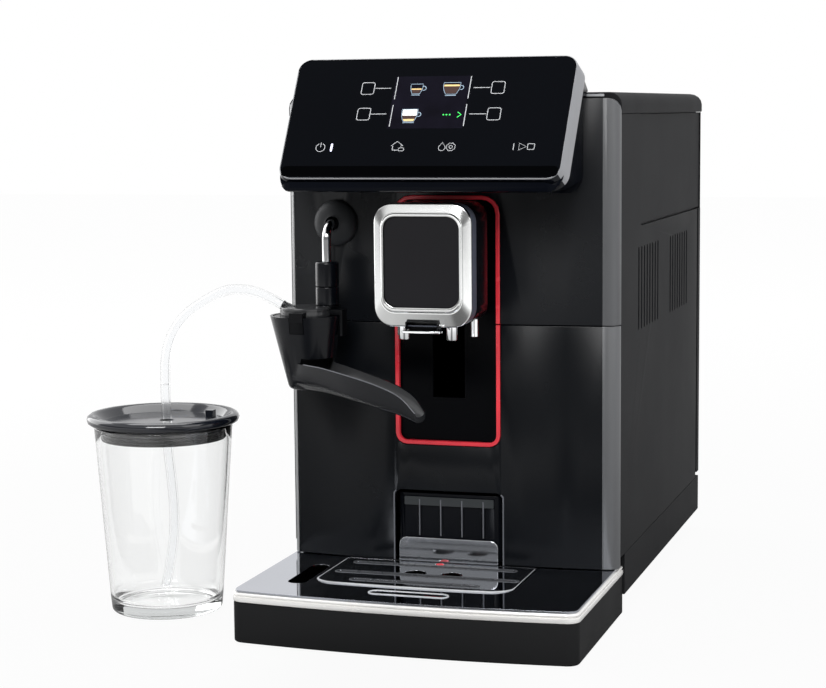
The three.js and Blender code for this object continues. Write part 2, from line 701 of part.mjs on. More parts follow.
// Places that several pieces share
const SIDE_INNER = HALF - WALL;
const CHASSIS_HALF = SIDE_INNER - FIT;
const CHASSIS_TOP = TOP - WALL - FIT;
const CHASSIS_BACK = BASE_BACK - WALL - FIT;
const COVER_BACK_PLANE = FRONT + CORNER;
const BARREL_X = HALF - BARREL;
const BARREL_Y = SIDE_BACK - BARREL;
const GUIDE_FRONT = frontDepth(GUIDE_HALF) + WALL + FIT;
const GUIDE_BACK = GUIDE_FRONT + GUIDE_THICK;
const NECK_BACK = GUIDE_BACK + RUN;
const TONGUE_TOP = WELL_LOW + WALL;
const BASIN_LOW = TONGUE_TOP + FIT;
const BASIN_TOP = PLATE_TOP - PLATE_THICK - FIT;
const LEDGE = BASE_LOW + WALL;
const FACE_HALF = SPOUT_HALF - BEVEL_SIDE;
const FACE_LOW = SPOUT_LOW + BEVEL_LOW;
const FACE_HIGH = SPOUT_HIGH - BEVEL_TOP;
const RING_BACK = SPOUT_FRONT + RING_DEEP;
const BODY_LOW = SPOUT_LOW + FIT;
const BASE_FRONT = TRAY_BACK + RUN;
const VENT_HIGH = SIDE_SEAM - VENT_DROP;
const DOOR_LONG = BARREL_Y - COVER_BACK_PLANE;
const [FLOAT_X, FLOAT_Y] = onGrille(FLOAT_SHARES);
const CUP_CENTRE = [FROTH_X, FROTH_Y];

function basePan() {
  const outer = box(-HALF, BASE_FRONT, BASE_LOW, HALF, BASE_BACK, BASE_TOP);
  const hollow = box(-SIDE_INNER, BASE_FRONT - OVER, LEDGE, SIDE_INNER, BASE_BACK - WALL, BASE_TOP + OVER);
  const well = box(-WELL_HALF, TONGUE_FRONT, WELL_LOW, WELL_HALF, WELL_BACK, LEDGE);
  const wellHollow = box(
    -WELL_HALF + WALL, TONGUE_FRONT - OVER, TONGUE_TOP, WELL_HALF - WALL, WELL_BACK - WALL, LEDGE + OVER);
  const overTongue = box(-HALF, TONGUE_FRONT - OVER, TONGUE_TOP, HALF, BASE_FRONT, LEDGE + OVER);
  const lug = box(
    BARREL_X - BARREL, BARREL_Y - BARREL, BASE_TOP - WALL, SIDE_INNER, BASE_BACK - WALL, BASE_TOP);
  const pin = round(PIN, COARSE, BASE_TOP - WALL, BASE_TOP + FIT + PIN_DEEP - RUN, BARREL_X, BARREL_Y);
  return cut(join(cut(outer, hollow), well), wellHollow, overTongue).add(lug).add(pin);
}

function foot() {
  return turned([
    [0, 0], [FOOT_RADIUS - 2 * FIT, 0], [FOOT_RADIUS, 2 * FIT],
    [FOOT_RADIUS, WELL_LOW - FIT], [0, WELL_LOW - FIT],
  ], COARSE);
}

// Walls, floor and front of the frame that the housing's panels are fixed to
function chassis() {
  const legFront = TRAY_BACK + WALL;
  const wallLow = BIN_HIGH + WALL;
  const legLow = LEDGE + FIT;
  const wallOutline = outline([
    [legFront, legLow], [CHASSIS_BACK, legLow], [CHASSIS_BACK, CHASSIS_TOP],
    [CHASSIS_FRONT, CHASSIS_TOP], [CHASSIS_FRONT, wallLow], [legFront, wallLow],
  ]);
  const left = slabX(wallOutline, -CHASSIS_HALF, -CHASSIS_HALF + WALL);
  const right = slabX(wallOutline, CHASSIS_HALF - WALL, CHASSIS_HALF);
  const serviceWay = slabX(
    oblong(legFront + DOOR_FRAME, BAY_FLOOR, BARREL_Y - DOOR_FRAME, SIDE_SEAM - DOOR_FRAME / 2, BARREL),
    CHASSIS_HALF - OVER, CHASSIS_HALF + OVER);
  const front = box(
    -CHASSIS_HALF, CHASSIS_FRONT, wallLow, CHASSIS_HALF, CHASSIS_FRONT + WALL, FRONT_TOP - RUN);
  const floor = box(
    TANK_WALL - WALL, CHASSIS_FRONT, BAY_FLOOR - WALL, CHASSIS_HALF, CHASSIS_BACK, BAY_FLOOR);
  const drop = box(
    TANK_WALL + OVER, BREW_FRONT, BAY_FLOOR - OVER, BREW_LEFT - FIT, BREW_BACK, BAY_FLOOR + OVER);
  const barrelWay = box(
    BARREL_X - BARREL - RUN, BARREL_Y - BARREL - RUN, BASE_TOP - WALL - FIT, CHASSIS_HALF + OVER, BACK,
    SIDE_SEAM + FIT);
  const lug = box(
    BARREL_X - BARREL, BARREL_Y - BARREL, SIDE_SEAM + FIT,
    CHASSIS_HALF, BARREL_Y + BARREL, SIDE_SEAM + WALL);
  const pin = round(PIN, COARSE, SIDE_SEAM - FIT - PIN_DEEP + RUN, SIDE_SEAM + WALL, BARREL_X, BARREL_Y);
  const body = join(left, cut(right, serviceWay), front, cut(floor, drop));
  return join(cut(body, barrelWay), lug, pin);
}

// Inner walls between the water tank, the brew bay and the bean hopper's deck
function innerWalls() {
  const low = BAY_FLOOR + FIT;
  const left = -CHASSIS_HALF + WALL + FIT;
  const right = CHASSIS_HALF - WALL - FIT;
  const front = CHASSIS_FRONT + WALL + FIT;
  const tankSide = box(TANK_WALL - WALL, front, low, TANK_WALL, CHASSIS_BACK, CHASSIS_TOP);
  const shelf = box(left, TANK_BAY_FRONT - WALL, TANK_SHELF - WALL, TANK_WALL, CHASSIS_BACK, TANK_SHELF);
  const tankFront = box(
    left, TANK_BAY_FRONT - WALL, TANK_SHELF - WALL, TANK_WALL, TANK_BAY_FRONT, CHASSIS_TOP);
  const valveHole = round(
    VALVE_RADIUS + RUN, ROUND, TANK_SHELF - WALL - OVER, TANK_SHELF + OVER,
    (TANK[0] + TANK[2]) / 2, TANK[3] - 2 * TANK_RADIUS);
  const deck = box(TANK_WALL - WALL, TANK_BAY_FRONT - WALL, DECK - WALL, right, CHASSIS_BACK, DECK);
  const deckHole = round(THROAT - THIN + FIT, ROUND, DECK - WALL - OVER, DECK + OVER, GRIND_X, GRIND_Y);
  const bayWall = box(TANK_WALL - WALL, BAY_BACK, low, right, BAY_BACK + WALL, DECK);
  const barrelWay = box(
    BARREL_X - BARREL - RUN, BARREL_Y - BARREL - RUN, low, CHASSIS_HALF, BACK, SIDE_SEAM + WALL + FIT);
  return cut(
    join(tankSide, cut(shelf, valveHole), tankFront, cut(deck, deckHole), bayWall), barrelWay);
}

function sideOutline(back) {
  return outline([
    [COVER_BACK_PLANE + FIT, SIDE_FOOT], [back, SIDE_FOOT, SIDE_BEND / 2],
    [back, SIDE_SEAM - FIT], [COLUMN_BACK - FIT, SIDE_SEAM - FIT, SIDE_BEND],
    [COLUMN_BACK - FIT, COVER_FOOT - FIT], [COVER_BACK_PLANE + FIT, COVER_FOOT - FIT],
  ]);
}

function leftPanel() {
  return slabX(sideOutline(SIDE_BACK), -HALF, -SIDE_INNER);
}

function ventSlot(start) {
  return slabX(
    oblong(start, VENT_HIGH - VENT_LONG, start + VENT_WIDE, VENT_HIGH, VENT_WIDE * END_SHARE),
    SIDE_INNER - OVER, HALF + OVER);
}

// The door is a panel whose rear edge is rounded about the hinge line
function serviceDoor() {
  const skin = slabX(outline([
    [COVER_BACK_PLANE + FIT, SIDE_FOOT], [BARREL_Y, SIDE_FOOT], [BARREL_Y, SIDE_SEAM - FIT],
    [COLUMN_BACK - FIT, SIDE_SEAM - FIT, SIDE_BEND], [COLUMN_BACK - FIT, COVER_FOOT - FIT],
    [COVER_BACK_PLANE + FIT, COVER_FOOT - FIT],
  ]), SIDE_INNER, HALF);
  const barrel = round(BARREL, ROUND, SIDE_FOOT, SIDE_SEAM - FIT, BARREL_X, BARREL_Y);
  const bores = [SIDE_FOOT, SIDE_SEAM - FIT].map((end) => round(
    PIN + FIT, COARSE, end - PIN_DEEP, end + PIN_DEEP, BARREL_X, BARREL_Y));
  const vents = VENT_SHARES.flatMap((share) => Array.from(
    { length: VENTS }, (_, i) => ventSlot(COVER_BACK_PLANE + DOOR_LONG * share + i * VENT_PITCH)));
  const gripMiddle = (SIDE_FOOT + SIDE_SEAM) / 2;
  const grip = slabX(
    oblong(COVER_BACK_PLANE - OVER, gripMiddle - GRIP_LONG / 2, COVER_BACK_PLANE + FIT + GRIP_WIDE,
      gripMiddle + GRIP_LONG / 2, GRIP_WIDE / 3),
    SIDE_INNER - OVER, SIDE_INNER + GRIP_DEEP);
  return cut(join(skin, barrel), ...bores, ...vents, grip);
}

function upperStrip(side) {
  const outer = side * (HALF - STRIP_RECESS);
  const inner = side * SIDE_INNER;
  return slabX(outline([
    [COLUMN_BACK + FIT, SIDE_SEAM + FIT, SIDE_BEND - 2 * FIT], [BACK - WALL - FIT, SIDE_SEAM + FIT],
    [BACK - WALL - FIT, COVER_FOOT - FIT], [COLUMN_BACK + FIT, COVER_FOOT - FIT],
  ]), Math.min(outer, inner), Math.max(outer, inner));
}

function inletOutline(grow, radius = 0) {
  const [wide, tall] = [INLET_WIDE / 2 + grow, INLET_TALL / 2 + grow];
  return oblong(INLET_X - wide, INLET_Z - tall, INLET_X + wide, INLET_Z + tall, radius);
}

function switchOutline(grow) {
  const [wide, tall] = [SWITCH_WIDE / 2 + grow, SWITCH_TALL / 2 + grow];
  return oblong(INLET_X - wide, SWITCH_Z - tall, INLET_X + wide, SWITCH_Z + tall);
}

function rearPanel() {
  const low = SIDE_FOOT + WALL;
  const high = COVER_FOOT - FIT;
  const skin = slabY(oblong(-HALF, low, HALF, high, 0), BACK - WALL, BACK);
  const returns = [-1, 1].map((side) => box(
    Math.min(side * HALF, side * SIDE_INNER), BACK - REAR_RETURN, low,
    Math.max(side * HALF, side * SIDE_INNER), BACK, SIDE_SEAM - FIT));
  const inlet = slabY(inletOutline(FIT), BACK - WALL - OVER, BACK + OVER);
  const rocker = slabY(switchOutline(RUN), BACK - WALL - OVER, BACK + OVER);
  const slots = Array.from({ length: REAR_SLOTS }, (_, i) => {
    const x = (i - (REAR_SLOTS - 1) / 2) * REAR_SLOT_PITCH;
    return slabY(
      oblong(x - VENT_WIDE / 2, REAR_SLOT_LOW, x + VENT_WIDE / 2, REAR_SLOT_LOW + REAR_SLOT_LONG),
      BACK - WALL - OVER, BACK + OVER);
  });
  const edges = slab(outline([
    [-HALF, BACK - 2 * REAR_RETURN], [HALF, BACK - 2 * REAR_RETURN],
    [HALF, BACK, BARREL], [-HALF, BACK, BARREL],
  ]), low - OVER, high + OVER);
  return cut(join(skin, ...returns).intersect(edges), inlet, rocker, ...slots);
}

function lidOpening([left, front, right, back], radius) {
  const end = back + LID_THICK / 2 + RUN;
  return slab(outline([
    [left - RUN, front - RUN, radius], [right + RUN, front - RUN, radius],
    [right + RUN, end], [left - RUN, end],
  ]), COVER_FOOT - OVER, TOP + OVER);
}

function topCover() {
  const front = COVER_BACK_PLANE + FIT;
  const sides = slabY(outline([
    [-HALF, COVER_FOOT], [HALF, COVER_FOOT], [HALF, TOP, TOP_RADIUS], [-HALF, TOP, TOP_RADIUS],
  ]), front, BACK);
  const length = slabX(outline([
    [front, COVER_FOOT], [BACK, COVER_FOOT], [BACK, TOP, TOP_RADIUS], [front, TOP],
  ]), -HALF, HALF);
  const hollow = slabY(outline([
    [-SIDE_INNER, COVER_FOOT - OVER], [SIDE_INNER, COVER_FOOT - OVER],
    [SIDE_INNER, TOP - WALL], [-SIDE_INNER, TOP - WALL],
  ]), CHASSIS_FRONT - FIT, BACK - WALL);
  return cut(
    sides.intersect(length), hollow,
    lidOpening(TANK, TANK_RADIUS), lidOpening(HOPPER, HOPPER_RADIUS), lidOpening(CHUTE, WALL));
}

// Outer body of the two front covers between two heights
function coverBody(low, high, grow) {
  return slab(bowedPlan(HALF + grow, FRONT - grow, BOW, COVER_BACK_PLANE, CORNER), low, high);
}

function coverShell(low, high, hollowLow, hollowHigh) {
  const crown = slabY(outline([
    [-HALF, low - OVER], [HALF, low - OVER], [HALF, FRONT_TOP, TOP_RADIUS], [-HALF, FRONT_TOP, TOP_RADIUS],
  ]), 0, BACK);
  const hollow = slab(
    bowedPlan(SIDE_INNER, FRONT + WALL, BOW, COVER_BACK_PLANE + OVER, CORNER - WALL),
    hollowLow, hollowHigh);
  return cut(coverBody(low, high, 0).intersect(crown), hollow);
}

// Posts behind a cover, which it is screwed to the chassis through
function coverBosses(height) {
  return [-1, 1].map((side) => slabY(
    oblong(side * HALF * BOSS_SHARE - WALL, height - WALL, side * HALF * BOSS_SHARE + WALL, height + WALL),
    frontDepth(HALF * BOSS_SHARE) + WALL / 2, CHASSIS_FRONT - FIT));
}

function recessOutline(inset) {
  const half = RED_HALF - inset;
  return outline([
    [-half, RED_LOW + inset, RED_LOW_RADIUS - inset], [half, RED_LOW + inset, RED_LOW_RADIUS - inset],
    [half, RED_HIGH - inset, RED_TOP_RADIUS - inset], [-half, RED_HIGH - inset, RED_TOP_RADIUS - inset],
  ]);
}

function recessCut(inset) {
  return slabY(recessOutline(inset), 0, BACK);
}

function upperFascia() {
  const shell = coverShell(SEAM + FIT, FRONT_TOP, SEAM - OVER, FRONT_TOP - WALL);
  const axle = slabY(circleShape(PIVOT_X, PIVOT_Z, BALL + RUN, ROUND), 0, BACK);
  return join(cut(shell, recessCut(-FIT), axle), ...coverBosses(SEAM + 4 * OVER));
}

function lowerFascia() {
  const shell = coverShell(FRONT_FOOT, SEAM - FIT, FRONT_FOOT - OVER, SEAM + OVER);
  const window = slabY(outline([
    [-WINDOW_HALF, FRONT_FOOT - OVER], [WINDOW_HALF, FRONT_FOOT - OVER],
    [WINDOW_HALF, WINDOW_TOP, WINDOW_RADIUS], [-WINDOW_HALF, WINDOW_TOP, WINDOW_RADIUS],
  ]), 0, BACK);
  return join(cut(shell, recessCut(-FIT), window), ...coverBosses(SEAM - 4 * OVER));
}

function redTrim(low, high) {
  const ring = cut(
    slabY(recessOutline(0), 0, GUIDE_FRONT - FIT),
    slabY(recessOutline(RED_LINE), -OVER, GUIDE_FRONT));
  const front = slab(bowedPlan(HALF, FRONT - RED_PROUD, BOW, BACK, CORNER), low, high);
  return ring.intersect(front);
}

function spoutGuide() {
  const plate = slabY(
    oblong(-GUIDE_HALF, RED_LOW - RED_LINE, GUIDE_HALF, RED_HIGH + RED_LINE, RED_LOW_RADIUS),
    GUIDE_FRONT, GUIDE_BACK);
  const way = slabY(
    oblong(-SLOT_HALF, NECK_LOW - SPOUT_TRAVEL - RUN, SLOT_HALF, NECK_HIGH + RUN),
    GUIDE_FRONT - OVER, GUIDE_BACK + OVER);
  const rails = [-1, 1].map((side) => {
    const inner = side * (SLIDER_HALF + RUN);
    const outer = inner + side * RAIL_WIDE;
    return box(
      Math.min(inner, outer), GUIDE_BACK - FIT, RED_LOW,
      Math.max(inner, outer), GUIDE_BACK + RAIL_DEEP, RED_HIGH);
  });
  const posts = [-1, 1].flatMap((side) => [RED_LOW + OVER, RED_HIGH - OVER].map((height) => {
    const x = side * (GUIDE_HALF - OVER);
    return slabY(
      oblong(x - WALL, height - WALL, x + WALL, height + WALL), GUIDE_BACK - FIT, CHASSIS_FRONT - FIT);
  }));
  return join(cut(plate, way), ...rails, ...posts);
}

// Depth and height of a place on the panel: up its slope, and out from the glass face
function onPanel(up, out) {
  return [
    GLASS_FOOT[0] + up * Math.cos(GLASS_SLOPE) - out * Math.sin(GLASS_SLOPE),
    GLASS_FOOT[1] + up * Math.sin(GLASS_SLOPE) + out * Math.cos(GLASS_SLOPE),
  ];
}

function panelHousing() {
  const behind = -FRAME_DEEP - FIT;
  const topUp = GLASS_LONG + FRAME_UPPER;
  const noseTop = onPanel(-FRAME_LOWER - FIT, 0);
  const backPlane = COVER_BACK_PLANE + FIT;
  const half = GLASS_HALF + FRAME_WIDE;
  const skin = slabX(outline([
    [noseTop[0], NOSE_LOW, NOSE_RADIUS], [backPlane, WEDGE_REAR_LOW],
    [backPlane, TOP + FIT], [WEDGE_BACK, TOP + FIT], [WEDGE_BACK, WEDGE_BACK_TOP],
    onPanel(topUp, -FRAME_DEEP - WALL), onPanel(topUp, behind),
    onPanel(-FRAME_LOWER - FIT, behind), noseTop,
  ]), -half, half);
  const room = slabX(outline([
    [onPanel(0, 2 * behind)[0], NOSE_LOW + WALL], [backPlane + OVER, NOSE_LOW + WALL],
    [backPlane + OVER, FRONT_TOP - WALL], onPanel(topUp - 4 * WALL, -FRAME_DEEP - 2 * WALL),
    onPanel(2 * WALL, behind - WALL),
  ]), -half + WALL, half - WALL);
  const screenWay = panelSlab(
    oblong(-SCREEN_HALF - FIT, SCREEN_LOW - FIT, SCREEN_HALF + FIT, SCREEN_HIGH + FIT),
    -FRAME_DEEP - 2 * WALL, OVER);
  const corners = slabY(
    oblong(-half, WEDGE_REAR_LOW, half, onPanel(topUp, behind)[1], WEDGE_RADIUS), 0, BACK);
  return cut(skin.intersect(corners), room, coverBody(SEAM, FRONT_TOP + FIT, FIT), screenWay);
}

// A solid on the sloped panel, for cuts made in the machine's own frame
function panelSlab(shape, low, high) {
  const geometry = extrude(shape, high - low);
  geometry.translate(0, 0, low);
  geometry.rotateX(GLASS_SLOPE);
  geometry.translate(0, GLASS_FOOT[0], GLASS_FOOT[1]);
  return toSolid(geometry);
}

function panelFrame() {
  const outer = oblong(
    -GLASS_HALF - FRAME_WIDE, -FRAME_LOWER, GLASS_HALF + FRAME_WIDE, GLASS_LONG + FRAME_UPPER,
    GLASS_RADIUS + FRAME_LOWER);
  const inner = oblong(-GLASS_HALF - FIT, -FIT, GLASS_HALF + FIT, GLASS_LONG + FIT, GLASS_RADIUS);
  const back = oblong(
    -GLASS_HALF + FRAME_WIDE, FRAME_WIDE, GLASS_HALF - FRAME_WIDE, GLASS_LONG - FRAME_WIDE, GLASS_RADIUS);
  return cut(
    slab(outer, -FRAME_DEEP, -FIT), slab(inner, -GLASS_THICK - FIT, OVER),
    slab(back, -FRAME_DEEP - OVER, OVER));
}

function panelGlass() {
  return slab(oblong(-GLASS_HALF, 0, GLASS_HALF, GLASS_LONG, GLASS_RADIUS), -GLASS_THICK, 0);
}

function panelDisplay() {
  return slab(
    oblong(-SCREEN_HALF, SCREEN_LOW, SCREEN_HALF, SCREEN_HIGH, FIT),
    -FRAME_DEEP - WALL, -GLASS_THICK - FIT);
}

// Dome on the upper cover that holds the steam pipe's ball
function steamSocket() {
  const profile = [[0, -OVER]];
  profile.push([DOME_RADIUS, -OVER]);
  for (let i = 0; i <= CORNER_STEPS; i += 1) {
    const angle = ((i / (CORNER_STEPS + 1)) * Math.PI) / 2;
    profile.push([DOME_RADIUS * Math.cos(angle), DOME_DEEP * Math.sin(angle)]);
  }
  profile.push([0, DOME_DEEP]);
  const dome = alongY(turned(profile, FINE), PIVOT_X, frontDepth(PIVOT_X), PIVOT_Z);
  const ball = ballAt(BALL + FIT, BALL_Y);
  const behind = alongY(round(BALL + FIT, ROUND, -2 * OVER, 0), PIVOT_X, BALL_Y, PIVOT_Z);
  const mouth = alongY(round(PIPE + RUN, ROUND, 0, 2 * DOME_DEEP), PIVOT_X, BALL_Y, PIVOT_Z);
  return cut(dome, coverBody(SEAM, FRONT_TOP, FIT), ball, behind, mouth);
}

// Turns a solid made about Z so that its own Z points to the front, and places it
function alongY(solid, x, y, z) {
  return solid.rotate([90, 0, 0]).translate([x, y, z]);
}

function ballAt(radius, y) {
  const geometry = new THREE.SphereGeometry(radius, COARSE, COARSE / 2);
  geometry.translate(PIVOT_X, y, PIVOT_Z);
  return toSolid(geometry);
}

// The pipe leaves its ball to the front, bends down and ends inside the frother cup
function steamTube() {
  const rings = [];
  const ring = (y, z, lean) => rings.push(Array.from({ length: COARSE }, (_, i) => {
    const angle = (i / COARSE) * 2 * Math.PI;
    const across = PIPE * Math.sin(angle);
    return new THREE.Vector3(
      PIVOT_X + PIPE * Math.cos(angle), y + across * Math.sin(lean), z + across * Math.cos(lean));
  }));
  ring(BALL_Y, PIVOT_Z, 0);
  for (let i = 0; i <= 2 * CORNER_STEPS; i += 1) {
    const lean = ((i / (2 * CORNER_STEPS)) * Math.PI) / 2;
    ring(
      PIPE_Y + PIPE_BEND * (1 - Math.sin(lean)), PIVOT_Z - PIPE_BEND * (1 - Math.cos(lean)), -lean);
  }
  ring(PIPE_Y, PIPE_LOW, -Math.PI / 2);
  return join(loft(rings), ballAt(BALL, BALL_Y));
}

function sleeve(low, high) {
  const edge = FIT * 3;
  return turned([
    [PIPE + FIT, low], [SLEEVE - edge, low], [SLEEVE, low + edge], [SLEEVE, high - edge],
    [SLEEVE - edge, high], [PIPE + FIT, high], [PIPE + FIT, low],
  ], ROUND);
}

// The lid's plug sits in the cup, and its disc stands over the rim with a groove below its edge.
// One tab springs in a notch of the cup's front and one hangs beside it
function frotherLid() {
  const seat = FROTH_RIM + FIT;
  const mouth = FROTH_RADIUS - FROTH_WALL;
  const groove = FROTH_TOP - DISC_EDGE;
  const disc = turned([
    [0, FROTH_RIM - OVER], [mouth - THIN - FIT, FROTH_RIM - OVER], [mouth - RUN, FROTH_RIM - FIT],
    [DISC_RADIUS, FROTH_RIM - FIT], [DISC_RADIUS, groove - RUN], [DISC_RADIUS - RUN, groove - RUN],
    [DISC_RADIUS - RUN, groove], [DISC_RADIUS, groove], [DISC_RADIUS, FROTH_TOP - RUN],
    [DISC_RADIUS - RUN, FROTH_TOP], [0, FROTH_TOP],
  ], ROUND).translate([FROTH_X, FROTH_Y, 0]);
  const collar = round(SLEEVE, ROUND, seat, FROTH_TOP, PIVOT_X, PIPE_Y);
  const tip = new THREE.Vector3(FROTH_X - NIPPLE_END, FROTH_Y + NIPPLE_BEHIND, FROTH_TOP + NIPPLE_RISE);
  const inward = new THREE.Vector3(Math.cos(NIPPLE_TILT), 0, -Math.sin(NIPPLE_TILT));
  const nipple = tubeBetween(tip.clone().addScaledVector(inward, NIPPLE_LONG), tip, NIPPLE);
  const [left, right] = [FROTH_X - WALL, FROTH_X - WALL + TAB_WIDE];
  const bridge = box(
    left, FROTH_Y - FROTH_RADIUS + FIT, FROTH_RIM - WALL, right, FROTH_Y - DISC_RADIUS + THIN, groove - RUN);
  const spring = tabZone(0).intersect(cut(cupLoft(0, 0, 0), cupLoft(FROTH_WALL, 0, OVER)));
  const outside = FROTH_X + FROTH_RADIUS + THIN;
  const hook = join(
    box(outside - THIN + FIT, FROTH_Y, FROTH_RIM - SIDE_TAB_DROP, outside, FROTH_Y + TAB_WIDE, groove),
    box(FROTH_X + DISC_RADIUS - WALL, FROTH_Y, seat, outside, FROTH_Y + TAB_WIDE, groove));
  const pipeHole = round(PIPE + FIT, COARSE, 0, TOP, PIVOT_X, PIPE_Y);
  return cut(join(disc, collar, nipple, bridge, spring, hook), pipeHole);
}

// Where the lid's front tab lies in the cup's wall
function tabZone(grow) {
  return box(
    FROTH_X - WALL - grow, FROTH_Y - FROTH_RADIUS - OVER, FROTH_RIM - TAB_DROP - grow,
    FROTH_X - WALL + TAB_WIDE + grow, FROTH_Y - FROTH_RADIUS / 2, FROTH_RIM + grow);
}

function tubeBetween(start, end, radius) {
  const along = end.clone().sub(start);
  const geometry = new THREE.CylinderGeometry(radius, radius, along.length(), COARSE);
  geometry.applyQuaternion(
    new THREE.Quaternion().setFromUnitVectors(new THREE.Vector3(0, 1, 0), along.clone().normalize()));
  geometry.translate(...start.clone().add(end).multiplyScalar(1 / 2).toArray());
  return toSolid(geometry);
}

function cupLoft(inset, lift, top) {
  const [leanX, leanY] = FROTH_LEAN;
  const rings = CUP_SHARES.map((share, i) => {
    const radius = FROTH_LOW_RADIUS + (FROTH_RADIUS - FROTH_LOW_RADIUS) * share - (i === 0 ? THIN : 0);
    return circleRing(
      FROTH_X + leanX * (1 - share), FROTH_Y + leanY * (1 - share),
      FROTH_LOW + lift + share * (FROTH_HIGH - lift), radius - inset, CUP_SIDES);
  });
  if (top > 0) rings.push(circleRing(...CUP_CENTRE, FROTH_RIM + top, FROTH_RADIUS - inset, CUP_SIDES));
  return loft(rings);
}

// The arm's middle line with its rim, floor and half width at each station
function armStations() {
  const rimStart = FROTH_RIM - ARM_RIM_DROP;
  const floorStart = FROTH_LOW + ARM_LIFT;
  return ARM_SHARES.map(([right, forward, rimFall, floorFall, taper]) => ({
    x: FROTH_X + ARM_AHEAD[0] + ARM_RIGHT * right,
    y: FROTH_Y + ARM_AHEAD[1] - ARM_FORWARD * forward,
    rim: rimStart - ARM_RIM_FALL * rimFall,
    floor: floorStart - ARM_FALL * floorFall,
    half: ARM_HALF - ARM_TAPER * taper,
  }));
}

// Cross sections of the arm: a block with a round underside, square to the arm's middle line
function armLoft(inset, lift, above, beyond) {
  const places = armStations();
  const stations = places.map(({ x, y, rim, floor, half }, i) => {
    const [ahead, behind] = [places[Math.min(i + 1, places.length - 1)], places[Math.max(i - 1, 0)]];
    const along = new THREE.Vector2(ahead.x - behind.x, ahead.y - behind.y).normalize();
    return { x, y, rim: rim + above, floor: floor + lift, along, half: half - inset };
  });
  const end = stations[stations.length - 1];
  if (beyond > 0) {
    stations.push({ ...end, x: end.x + end.along.x * beyond, y: end.y + end.along.y * beyond });
  }
  return loft(stations.map(({ x, y, rim, floor, along, half }) => {
    const bend = half * ARM_BEND_SHARE;
    const hip = bend * ARM_HIP_SHARE;
    const profile = [
      [-half, rim], [-half, floor + bend], [-half + hip, floor + hip], [-half + bend, floor],
      [half - bend, floor], [half - hip, floor + hip], [half, floor + bend], [half, rim],
    ];
    return profile.map(([side, z]) => new THREE.Vector3(x + side * along.y, y - side * along.x, z));
  }));
}

function frotherCup() {
  const outer = join(cupLoft(0, 0, 0), armLoft(0, 0, 0, 0));
  const inner = join(
    cupLoft(FROTH_WALL, FROTH_WALL, OVER), armLoft(FROTH_WALL, FROTH_WALL, OVER, OVER));
  return cut(outer, inner, tabZone(FIT));
}

function milkGlass() {
  const innerTop = CUP_TOP_RADIUS - CUP_WALL;
  const slope = (CUP_TOP_RADIUS - CUP_LOW_RADIUS) / CUP_HIGH;
  const innerLow = CUP_LOW_RADIUS + slope * (CUP_FLOOR + CUP_EDGE) - CUP_WALL;
  return turned([
    [0, 0], [CUP_LOW_RADIUS - THIN, 0], [CUP_LOW_RADIUS, THIN], [CUP_TOP_RADIUS, CUP_HIGH - RUN],
    [CUP_TOP_RADIUS - RUN, CUP_HIGH], [innerTop + RUN, CUP_HIGH], [innerTop, CUP_HIGH - RUN],
    [innerLow, CUP_FLOOR + CUP_EDGE], [innerLow - CUP_EDGE, CUP_FLOOR], [0, CUP_FLOOR],
  ], FINE);
}

function glassLid() {
  const rimMiddle = LID_RADIUS - LID_RIM;
  const plug = CUP_TOP_RADIUS - CUP_WALL - 2 * RUN;
  const seat = CUP_HIGH + FIT;
  const profile = [
    [0, DISH_TOP - DISH_THICK], [plug - WALL, DISH_TOP - DISH_THICK], [plug - WALL, CUP_HIGH - PLUG_DEEP],
    [plug - RUN, CUP_HIGH - PLUG_DEEP], [plug, seat], [rimMiddle - LID_RIM / 2, seat],
  ];
  for (let i = 0; i <= RIM_STEPS; i += 1) {
    const angle = RIM_START + (RIM_SWEEP * i) / RIM_STEPS;
    profile.push([rimMiddle + LID_RIM * Math.cos(angle), LID_RIM_Z + LID_RIM * Math.sin(angle)]);
  }
  profile.push([rimMiddle - 2 * LID_RIM, DISH_TOP], [0, DISH_TOP]);
  const tab = box(
    TAB_RIGHT - TAB_SIZE / 2, TAB_BEHIND - TAB_SIZE / 2, DISH_TOP - DISH_THICK / 2,
    TAB_RIGHT + TAB_SIZE / 2, TAB_BEHIND + TAB_SIZE / 2, DISH_TOP + TAB_SIZE);
  const [holeX] = HOSE_FALL.find(([, z]) => z < LID_RIM_Z);
  const hole = round(HOSE_HOLE, ROUND, 0, TOP, holeX - CUP_X, HOSE_Y - CUP_Y);
  return cut(join(turned(profile, FINE), tab), hole);
}

function hose(route) {
  return tube(route.map(([x, z]) => new THREE.Vector3(x, HOSE_Y, z)), HOSE, HOSE_SIDES);
}

// A rounded rectangle as a ring of points at one depth
function frontRing(half, low, high, radius, y) {
  return oblong(-half, low, half, high, radius).getPoints()
    .map((p) => new THREE.Vector3(p.x, y, p.y));
}

function spoutRing() {
  const outer = [SPOUT_HALF, SPOUT_LOW, SPOUT_HIGH, SPOUT_RADIUS];
  const land = 2 * FIT;
  const block = loft([
    frontRing(FACE_HALF + land, FACE_LOW - land, FACE_HIGH + land, FACE_RADIUS, SPOUT_FRONT),
    frontRing(...outer, SPOUT_FRONT + BEVEL_DEEP),
    frontRing(...outer, RING_BACK),
  ]);
  const face = slabY(oblong(-FACE_HALF, FACE_LOW, FACE_HALF, FACE_HIGH, FACE_RADIUS), 0, BACK);
  const tabWay = box(
    -TAB_HALF - FIT, 0, TAB_LOW - OVER, TAB_HALF + FIT, RING_BACK + OVER, TAB_LOW + TAB_HALF / 2 + FIT);
  return cut(block, face, tabWay);
}

function spoutPlate() {
  return slabY(
    oblong(-FACE_HALF + FIT, FACE_LOW + FIT, FACE_HALF - FIT, FACE_HIGH - FIT, FACE_RADIUS - FIT),
    SPOUT_FRONT + PLATE_SET_BACK, RING_BACK);
}

